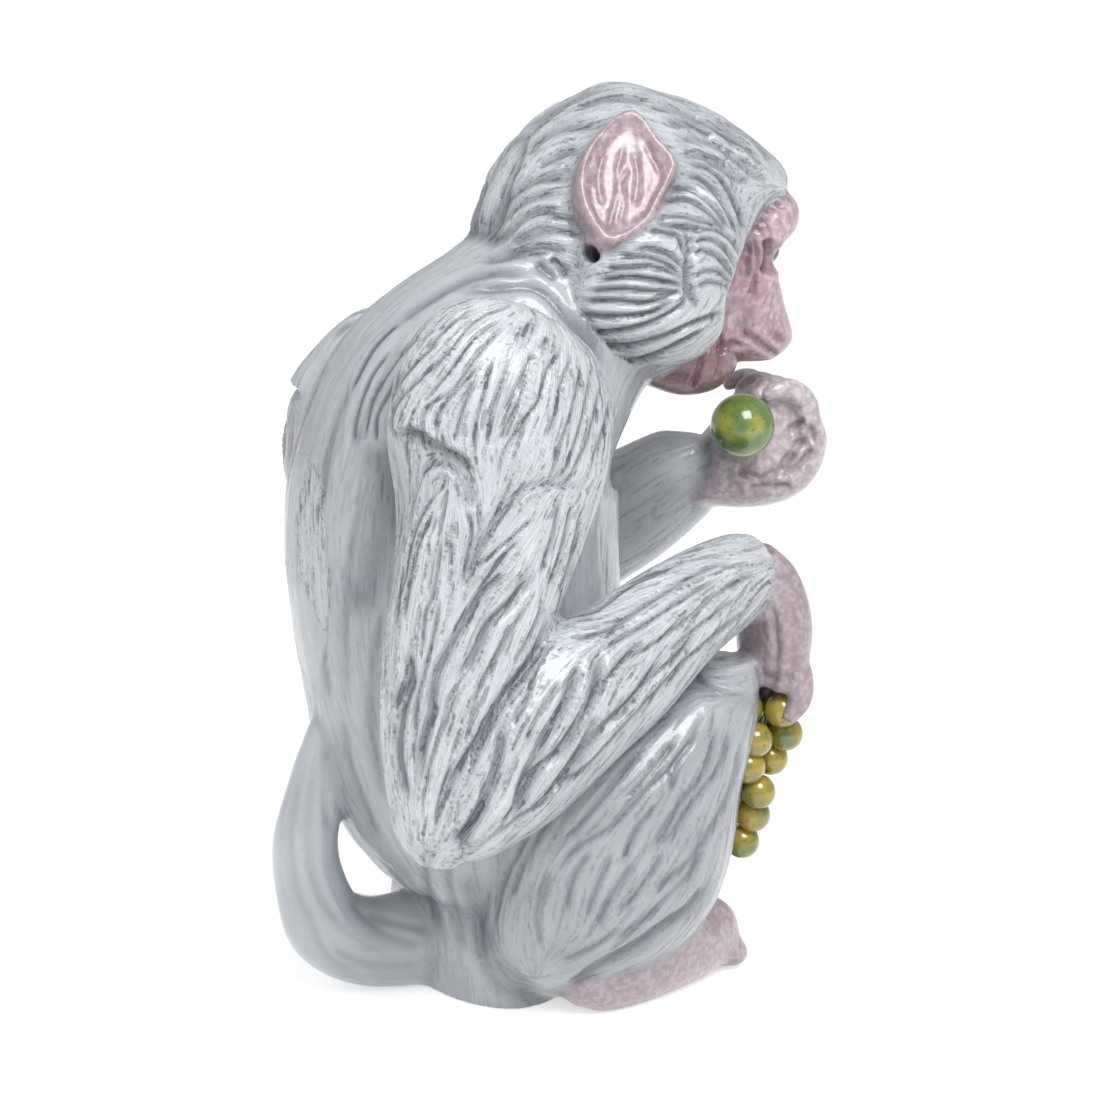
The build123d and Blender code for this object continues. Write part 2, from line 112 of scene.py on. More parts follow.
jawRows = [
    (0.0, -0.148, 0.704, 0.42, 0.42), (0.0, -0.22, 0.694, 0.52, 0.5), (0.0, -0.268, 0.687, 0.47, 0.42),
    (0.0, -0.296, 0.682, 0.32, 0.26), (0.0, -0.308, 0.679, 0.14, 0.12),
]
upperArmRightRows = [
    (-0.238, 0.192, 0.775, 0.16, 0.16), (-0.256, 0.202, 0.75, 0.36, 0.35), (-0.278, 0.212, 0.703, 0.46, 0.46),
    (-0.298, 0.222, 0.635, 0.48, 0.49), (-0.321, 0.246, 0.563, 0.46, 0.42), (-0.35, 0.28, 0.495, 0.4, 0.37),
    (-0.376, 0.317, 0.403, 0.36, 0.35), (-0.406, 0.348, 0.314, 0.32, 0.29), (-0.428, 0.372, 0.249, 0.24, 0.2),
    (-0.436, 0.382, 0.218, 0.1, 0.08),
]
forearmRightRows = [
    (-0.436, 0.394, 0.236, 0.14, 0.14), (-0.43, 0.35, 0.263, 0.36, 0.32), (-0.42, 0.27, 0.311, 0.47, 0.47),
    (-0.402, 0.164, 0.365, 0.5, 0.5), (-0.384, 0.057, 0.399, 0.45, 0.44), (-0.356, -0.06, 0.444, 0.39, 0.36),
    (-0.322, -0.166, 0.469, 0.34, 0.31), (-0.3, -0.222, 0.474, 0.29, 0.26),
]
palmRightRows = [
    (-0.302, -0.21, 0.474, 0.32, 0.48), (-0.298, -0.244, 0.456, 0.42, 0.44), (-0.292, -0.264, 0.418, 0.5, 0.4),
    (-0.286, -0.264, 0.372, 0.48, 0.36), (-0.282, -0.256, 0.345, 0.38, 0.24),
]
upperArmLeftRows = [
    (0.24, 0.188, 0.735, 0.14, 0.12), (0.256, 0.2, 0.712, 0.3, 0.27), (0.274, 0.214, 0.672, 0.4, 0.38),
    (0.286, 0.228, 0.62, 0.45, 0.45), (0.304, 0.214, 0.56, 0.46, 0.46), (0.336, 0.15, 0.508, 0.42, 0.39),
    (0.372, 0.08, 0.461, 0.38, 0.32), (0.404, 0.012, 0.417, 0.34, 0.26), (0.424, -0.038, 0.38, 0.27, 0.19),
    (0.432, -0.07, 0.358, 0.12, 0.08),
]
forearmLeftRows = [
    (0.428, -0.01, 0.364, 0.14, 0.14), (0.404, -0.058, 0.388, 0.36, 0.3), (0.342, -0.112, 0.424, 0.44, 0.42),
    (0.268, -0.168, 0.466, 0.43, 0.45), (0.192, -0.222, 0.505, 0.4, 0.43), (0.125, -0.268, 0.54, 0.355, 0.37),
    (0.095, -0.288, 0.554, 0.31, 0.3), (0.066, -0.306, 0.567, 0.2, 0.19), (0.05, -0.316, 0.574, 0.08, 0.08),
]
palmLeftRows = [
    (0.077, -0.296, 0.56, 0.35, 0.6), (0.062, -0.366, 0.545, 0.43, 0.5), (0.048, -0.424, 0.552, 0.5, 0.48),
    (0.036, -0.448, 0.586, 0.5, 0.44), (0.026, -0.432, 0.622, 0.42, 0.32),
]
footRows = [
    (-0.312, 0.118, 0.027, 0.2, 0.22), (-0.304, 0.082, 0.038, 0.38, 0.38), (-0.284, 0.002, 0.044, 0.46, 0.47),
    (-0.252, -0.074, 0.048, 0.5, 0.5), (-0.218, -0.134, 0.044, 0.5, 0.47), (-0.192, -0.172, 0.04, 0.49, 0.41),
    (-0.174, -0.2, 0.04, 0.45, 0.38), (-0.162, -0.222, 0.04, 0.36, 0.32), (-0.154, -0.236, 0.038, 0.2, 0.17),
]
tailRows = [
    (-0.018, 0.22, 0.053, 0.53, 0.53), (-0.012, 0.3, 0.05, 0.49, 0.49), (0.000, 0.365, 0.053, 0.46, 0.46),
    (0.006, 0.424, 0.078, 0.43, 0.43), (0.006, 0.452, 0.13, 0.36, 0.36), (0.006, 0.458, 0.178, 0.33, 0.33),
    (0.006, 0.442, 0.226, 0.31, 0.31), (0.000, 0.422, 0.274, 0.28, 0.28), (0.000, 0.407, 0.314, 0.22, 0.22),
    (0.000, 0.397, 0.344, 0.12, 0.12),
]

# node, rows, breadth, thickness, how its sections lie, and whether it is the mirror of the right one
formList = [
    ("torso_shell", torsoRows, 0.108, 0.108, "across", False),
    ("leg_right", legRows, 0.064, 0.092, "level", False),
    ("leg_left", legRows, 0.064, 0.092, "level", True),
    ("head_shell", headRows, 0.076, 0.100, "upright", False),
    ("cheek_ruff_right", ruffRows, 0.038, 0.060, "across", False),
    ("cheek_ruff_left", ruffRows, 0.038, 0.060, "across", True),
    ("face", faceRows, 0.050, 0.044, "level", False),
    ("lower_jaw", jawRows, 0.032, 0.027, "across", False),
    ("upper_arm_right", upperArmRightRows, 0.050, 0.074, "across", False),
    ("forearm_right", forearmRightRows, 0.038, 0.050, "across", False),
    ("hand_right", palmRightRows, 0.036, 0.025, "across", False),
    ("upper_arm_left", upperArmLeftRows, 0.050, 0.074, "across", False),
    ("forearm_left", forearmLeftRows, 0.038, 0.050, "across", False),
    ("hand_left", palmLeftRows, 0.036, 0.025, "across", False),
    ("foot_right", footRows, 0.030, 0.032, "across", False),
    ("foot_left", footRows, 0.030, 0.032, "across", True),
    ("tail", tailRows, 0.032, 0.032, "across", False),
]
nodeNames = [row[0] for row in formList] + ["ear_right", "ear_left"]
formValues = {"perSpan": 8, "around": 40, "leastHalf": 1e-4,
              # a digit's radius at its four points
              "digitShares": (0.95, 1.0, 0.92, 0.50), "digitSpan": 6}


def unit(vectors):
    return vectors / np.maximum(np.linalg.norm(vectors, axis=-1, keepdims=True), 1e-9)


# A smooth curve through the points but the first and last, which only lead it in and out
def curveThrough(points, perSpan):
    fine = []
    for i in range(1, len(points) - 2):
        a, b, c, d = points[i - 1:i + 3]
        for t in np.arange(perSpan) / perSpan:
            fine.append(0.5 * (2 * b + (c - a) * t + (2 * a - 5 * b + 4 * c - d) * t ** 2
                               + (3 * b - a - 3 * c + d) * t ** 3))
    return fine


def throughRows(rows, perSpan):
    padded = np.vstack([2 * rows[0] - rows[1], rows, 2 * rows[-1] - rows[-2]])
    return np.array(curveThrough(padded, perSpan) + [rows[-1]])


# A form's centre line with the frame of each section
def layForm(name, rows, breadth, thickness, sections, mirrored=False):
    scale = np.array([figureSize["width"], figureSize["depth"], figureSize["height"], breadth, thickness])
    fine = throughRows(np.array(rows) * scale, formValues["perSpan"])
    if mirrored:
        fine[:, 0] *= -1
    centres = fine[:, :3]
    along = unit(np.gradient(centres, axis=0))
    square = {"level": (0, 0, 1), "upright": (0, -1, 0), "sideways": (1, 0, 0)}.get(sections)
    facing = along if square is None else np.tile(np.array(square, float), (len(fine), 1))
    level = np.array([0.0, 1, 0] if sections == "sideways" else [1.0, 0, 0])
    across = unit(level - facing * (facing @ level)[:, None])
    upward = np.cross(facing, across)
    return {"name": name, "centres": centres, "along": along, "facing": facing, "across": across, "upward": upward,
            "halfBreadth": np.maximum(fine[:, 3], formValues["leastHalf"]),
            "halfThickness": np.maximum(fine[:, 4], formValues["leastHalf"]), "parallel": square is not None}


# A finger or toe, round, along four points
def layDigit(name, points, radius):
    shares = np.array(formValues["digitShares"]) * radius
    fine = throughRows(np.column_stack([np.array(points), shares, shares]), formValues["digitSpan"])
    along = unit(np.gradient(fine[:, :3], axis=0))
    across = unit(np.array([1.0, 0, 0]) - along * along[:, :1])
    return {"name": name, "centres": fine[:, :3], "along": along, "facing": along, "across": across,
            "upward": np.cross(along, across), "halfBreadth": fine[:, 3], "halfThickness": fine[:, 4],
            "parallel": False}


# Quads between rings of points, and a cap on each end
def tubeFaces(rings, around):
    step = [(j, (j + 1) % around) for j in range(around)]
    faces = [(i * around + j, i * around + k, (i + 1) * around + k, (i + 1) * around + j)
             for i in range(rings - 1) for j, k in step]
    return faces + [tuple(range(around))[::-1], tuple(range((rings - 1) * around, rings * around))]


def formMesh(form):
    around = formValues["around"]
    turn = np.linspace(0, 2 * np.pi, around, endpoint=False)
    ring = (form["across"][:, None] * (np.cos(turn)[None, :, None] * form["halfBreadth"][:, None, None])
            + form["upward"][:, None] * (np.sin(turn)[None, :, None] * form["halfThickness"][:, None, None]))
    points = (form["centres"][:, None] + ring).reshape(-1, 3)
    return points, tubeFaces(len(form["centres"]), around)


forms = [layForm(*row) for row in formList]

handValues = {
    "breadth": 0.036, "fingerRadius": 0.0044, "fingerRow": (-0.375, -0.125, 0.125, 0.375),
    "rightMiddle": -0.286, "rightPath": [(-0.260, 0.392), (-0.278, 0.362), (-0.278, 0.334), (-0.258, 0.312)],
    "leftMiddle": 0.026, "leftPath": [(-0.446, 0.600), (-0.432, 0.636), (-0.390, 0.652), (-0.348, 0.643)],
    "fistBreadth": 0.036, "fistThickness": 0.025,
}
footValues = {
    "breadth": 0.030, "toeRadius": 0.0052, "toeLength": 0.008, "toeRow": (-0.36, -0.18, 0.0, 0.18, 0.36),
    "toeSteps": (-0.40, 0.10, 0.50, 0.75), "ball": (-0.174, -0.200), "instep": (-0.192, -0.172),
}
for row in handValues["fingerRow"]:
    for side in ("right", "left"):
        x = handValues[side + "Middle"] * figureSize["width"] + row * handValues["breadth"]
        points = [(x, y * figureSize["depth"], z * figureSize["height"]) for y, z in handValues[side + "Path"]]
        forms.append(layDigit("hand_" + side, points, handValues["fingerRadius"]))
level = np.array([figureSize["width"], figureSize["depth"]])
ball = np.append(np.array(footValues["ball"]) * level, footValues["toeRadius"])
ahead = unit(np.append((np.array(footValues["ball"]) - np.array(footValues["instep"])) * level, 0.0))
beside = np.array([-ahead[1], ahead[0], 0.0])
for row in footValues["toeRow"]:
    points = np.array([ball + beside * (row * footValues["breadth"]) + ahead * (step * footValues["toeLength"])
                       for step in footValues["toeSteps"]])
    forms.append(layDigit("foot_right", points, footValues["toeRadius"]))
    forms.append(layDigit("foot_left", points * mirror, footValues["toeRadius"]))

# The far fist closes round the grape
fistRows = [(-0.046, -0.384, 0.598, 0.18, 0.24), (-0.03, -0.388, 0.598, 0.36, 0.52),
            (0.03, -0.39, 0.598, 0.42, 0.62), (0.096, -0.384, 0.594, 0.32, 0.46), (0.118, -0.38, 0.592, 0.14, 0.2)]
forms.append(layForm("hand_left", fistRows, handValues["fistBreadth"], handValues["fistThickness"], "sideways"))

# Ears: a pointed dish with a raised rim on a root
earValues = {
    "length": 0.044, "breadth": 0.034, "farSink": 0.0018, "perSpan": 8,
    "place": (-0.2022, -0.028, 0.9023), "facing": (-0.86, 0.28, 0.42),
    "outline": [(-0.29, -0.48), (-0.45, -0.27), (-0.48, -0.01), (-0.26, 0.30), (0.17, 0.51),
                (0.39, 0.24), (0.50, 0.05), (0.29, -0.18), (0.08, -0.38)],
    # inset and depth of each ring, from the root round the rim to the floor of the dish
    "rings": [(-0.0026, -0.016), (-0.0012, -0.008), (-0.0002, -0.001), (0.0002, 0.0016), (0.0008, 0.0032),
              (0.0018, 0.0038), (0.0028, 0.0033), (0.0040, 0.0022), (0.0065, 0.0014), (0.0100, 0.0012)],
}


def earFrame():
    facing = unit(np.array(earValues["facing"]))
    ahead = np.array([0.0, -1.0, 0.0])
    ahead = unit(ahead - facing * facing.dot(ahead))
    place = np.array(earValues["place"]) * np.array([figureSize["width"], figureSize["depth"], figureSize["height"]])
    return place, ahead, np.cross(facing, ahead), facing


def earOutline(inset):
    shape = np.array(earValues["outline"]) * (np.array([earValues["breadth"], earValues["length"]]) - 2 * inset)
    return np.array(curveThrough(np.vstack([shape[-1], shape, shape[0], shape[1]]), earValues["perSpan"]))


def earMesh(mirrored):
    place, ahead, upward, facing = earFrame()
    points = []
    for inset, depth in earValues["rings"]:
        flat = earOutline(inset)
        points.append(place + flat[:, :1] * ahead + flat[:, 1:] * upward + facing * depth)
    faces = tubeFaces(len(points), len(points[0]))
    points = np.vstack(points)
    if mirrored:
        return (points - facing * earValues["farSink"]) * mirror, [face[::-1] for face in faces]
    return points, faces


def buildMesh(name, parts):
    allPoints, allFaces, offset = [], [], 0
    for points, faces in parts:
        allPoints.append(points)
        allFaces += [tuple(i + offset for i in face) for face in faces]
        offset += len(points)
    mesh = bpy.data.meshes.new(name)
    mesh.from_pydata(np.vstack(allPoints).tolist(), [], allFaces)
    mesh.update()
    return mesh


# All the clay pressed together and taken over as one even skin of small quads
sculptValues = {
    "voxel": 0.00082,
    # steps of smoothing, of the whole skin and then of some places
    "blend": 10, "feet": 40, "wrists": 40, "fist": 20, "chest": 160, "creases": 24,
    "share": 0.6, "bareShare": 0.35, "placeShare": 0.7, "chestShare": 0.8,
    "chestFront": 0.024, "chestLow": 0.168, "chestHigh": 0.214, "creaseDepth": 0.0004, "creaseReach": 12,
    # steps over which each place fades out, and how much its middle is raised
    "feetFade": 4, "wristFade": 12, "fistFade": 4, "chestFade": 24, "creaseFade": 5,
    "chestGain": 1.3, "creaseGain": 1.6,
    # bare skin fades into the fur over so many steps, and further near hands and feet
    "blushFade": 6, "limbBlushFade": 26, "limbReach": 40, "limbEdge": 0.0005,
    # rounds in which stray points join the form of so many of their neighbours
    "strayRounds": 3, "strayNeighbours": 3,
}


def pressTogether(parts):
    clay = bpy.data.objects.new("clay", buildMesh("clay", parts))
    bpy.context.scene.collection.objects.link(clay)
    remesh = clay.modifiers.new("press", "REMESH")
    remesh.mode = "VOXEL"
    remesh.voxel_size = sculptValues["voxel"]
    remesh.adaptivity = 0.0
    skin = bpy.data.meshes.new_from_object(clay.evaluated_get(bpy.context.evaluated_depsgraph_get()))
    bpy.data.objects.remove(clay)
    return skin


parts = [formMesh(form) for form in forms] + [earMesh(False), earMesh(True)]
skin = pressTogether(parts)
places = np.zeros(len(skin.vertices) * 3, np.float32)
skin.vertices.foreach_get("co", places)
places = places.reshape(-1, 3).astype(float)
quads = np.zeros(len(skin.loops), np.int32)
skin.loops.foreach_get("vertex_index", quads)
quads = quads.reshape(-1, 4)
print("clay pressed together:", len(places), "points")

# Each point's neighbours along the quads' edges, at most five
pairs = np.vstack([quads[:, [0, 1]], quads[:, [1, 2]], quads[:, [2, 3]], quads[:, [3, 0]]])
pairs = pairs[np.argsort(pairs[:, 0], kind="stable")]
firstPair = np.searchsorted(pairs[:, 0], np.arange(len(places)))
order = np.arange(len(pairs)) - firstPair[pairs[:, 0]]
mostNearby = 5
nearby = np.tile(np.arange(len(places))[:, None], (1, mostNearby))
kept = order < mostNearby
nearby[pairs[kept, 0], order[kept]] = pairs[kept, 1]


def spread(values, times, share=0.5, weight=None):
    values = np.asarray(values, float)
    for _ in range(times):
        drift = (values[nearby].mean(axis=1) - values) * share
        if weight is not None:
            drift *= weight[:, None] if values.ndim == 2 else weight
        values = values + drift
    return values


def skinNormals(points):
    across = points[quads[:, 2]] - points[quads[:, 0]]
    other = points[quads[:, 3]] - points[quads[:, 1]]
    faceNormals = np.cross(across, other)
    normals = np.zeros_like(points)
    for corner in range(4):
        for axis in range(3):
            normals[:, axis] += np.bincount(quads[:, corner], faceNormals[:, axis], len(points))
    return unit(normals)


# How far each point is from each form's skin, and the row of the form it lies at
measureValues = {"margin": 0.05, "endSlack": 0.002, "batch": 60000}


def measureForm(form, points):
    low = form["centres"].min(0) - measureValues["margin"]
    high = form["centres"].max(0) + measureValues["margin"]
    inside = np.where(((points > low) & (points < high)).all(axis=1))[0]
    gap = np.full(len(points), 1.0)
    place = np.zeros(len(points), int)
    for start in range(0, len(inside), measureValues["batch"]):
        chosen = inside[start:start + measureValues["batch"]]
        away = points[chosen][:, None] - form["centres"][None]
        reach = np.abs((away * form["facing"][None]).sum(-1)) if form["parallel"] else (away ** 2).sum(-1)
        row = reach.argmin(axis=1)
        away = away[np.arange(len(chosen)), row]
        side = (away * form["across"][row]).sum(-1) / form["halfBreadth"][row]
        rise = (away * form["upward"][row]).sum(-1) / form["halfThickness"][row]
        out = np.hypot(side, rise)
        size = np.sqrt(form["halfBreadth"][row] * form["halfThickness"][row])
        beyond = np.abs((away * form["facing"][row]).sum(-1))
        gap[chosen] = np.abs(out - 1) * size + np.maximum(beyond - measureValues["endSlack"], 0)
        place[chosen] = row
    return gap, place


nearest = np.full(len(places), 1.0)
owner = np.zeros(len(places), int)
flow = np.zeros_like(places)
for form in forms:
    gap, row = measureForm(form, places)
    better = gap < nearest
    nearest[better] = gap[better]
    owner[better] = nodeNames.index(form["name"])
    flow[better] = form["along"][row[better]]

# A point belongs to an ear in a box round it, away from the other forms, and in its dish
earReach = {"breadth": 0.020, "length": 0.0245, "depth": 0.012, "clearance": 0.0011,
            "dishBreadth": 0.0125, "dishLength": 0.0165, "dishDepth": 0.006}
earPlace, earAhead, earUp, earFacing = earFrame()
for name, flip in (("ear_right", 1.0), ("ear_left", mirror)):
    local = places * flip - earPlace
    acrossEar, upEar, outEar = local @ earAhead, local @ earUp, local @ earFacing
    near = (np.abs(acrossEar) < earReach["breadth"]) & (np.abs(upEar) < earReach["length"])
    near &= (np.abs(outEar) < earReach["depth"]) & (nearest > earReach["clearance"])
    near |= ((acrossEar / earReach["dishBreadth"]) ** 2 + (upEar / earReach["dishLength"]) ** 2 < 1) \
        & (np.abs(outEar) < earReach["dishDepth"])
    owner[near] = nodeNames.index(name)
    flow[near] = earUp
print("points sorted by form")


def isNode(*names):
    return np.isin(owner, [nodeNames.index(name) for name in names])


def both(name):
    return name + "_right", name + "_left"


def softMask(chosen, steps):
    return spread(chosen.astype(float), steps)


skinNodes = ("face", "lower_jaw", *both("hand"), *both("foot"), *both("ear"))
bare = isNode(*skinNodes)
steps, placeShare = sculptValues, sculptValues["placeShare"]
feet = softMask(isNode(*both("foot")), steps["feetFade"])
places = spread(places, steps["blend"], steps["share"], np.where(bare, steps["bareShare"], 1.0))
places = spread(places, steps["feet"], placeShare, feet)
wrists = softMask(isNode(*both("hand")), steps["wristFade"])
places = spread(places, steps["wrists"], placeShare, np.clip(wrists * (1 - wrists) * 4, 0, 1))
places = spread(places, steps["fist"], placeShare, softMask(isNode("hand_left"), steps["fistFade"]))
# the chest's upper edge runs smoothly into the neck
chest = isNode("torso_shell") & (places[:, 1] < steps["chestFront"])
chest &= (places[:, 2] > steps["chestLow"]) & (places[:, 2] < steps["chestHigh"])
chest = np.clip(softMask(chest, steps["chestFade"]) * steps["chestGain"], 0, 1)
places = spread(places, steps["chest"], steps["chestShare"], chest)
crease = ((spread(places, steps["creaseReach"], steps["share"]) - places) * skinNormals(places)).sum(-1)
crease = spread(np.clip(crease / steps["creaseDepth"], 0, 1), steps["creaseFade"])
crease = np.clip(crease * steps["creaseGain"], 0, 1)
places = spread(places, steps["creases"], placeShare, np.where(bare, 0.0, crease))
normals = skinNormals(places)
limb = isNode(*both("hand"), *both("foot")).astype(float)
nearLimb = spread(limb, steps["limbReach"]) > steps["limbEdge"]
blush = np.where(nearLimb, softMask(bare, steps["limbBlushFade"]), softMask(bare, steps["blushFade"]))

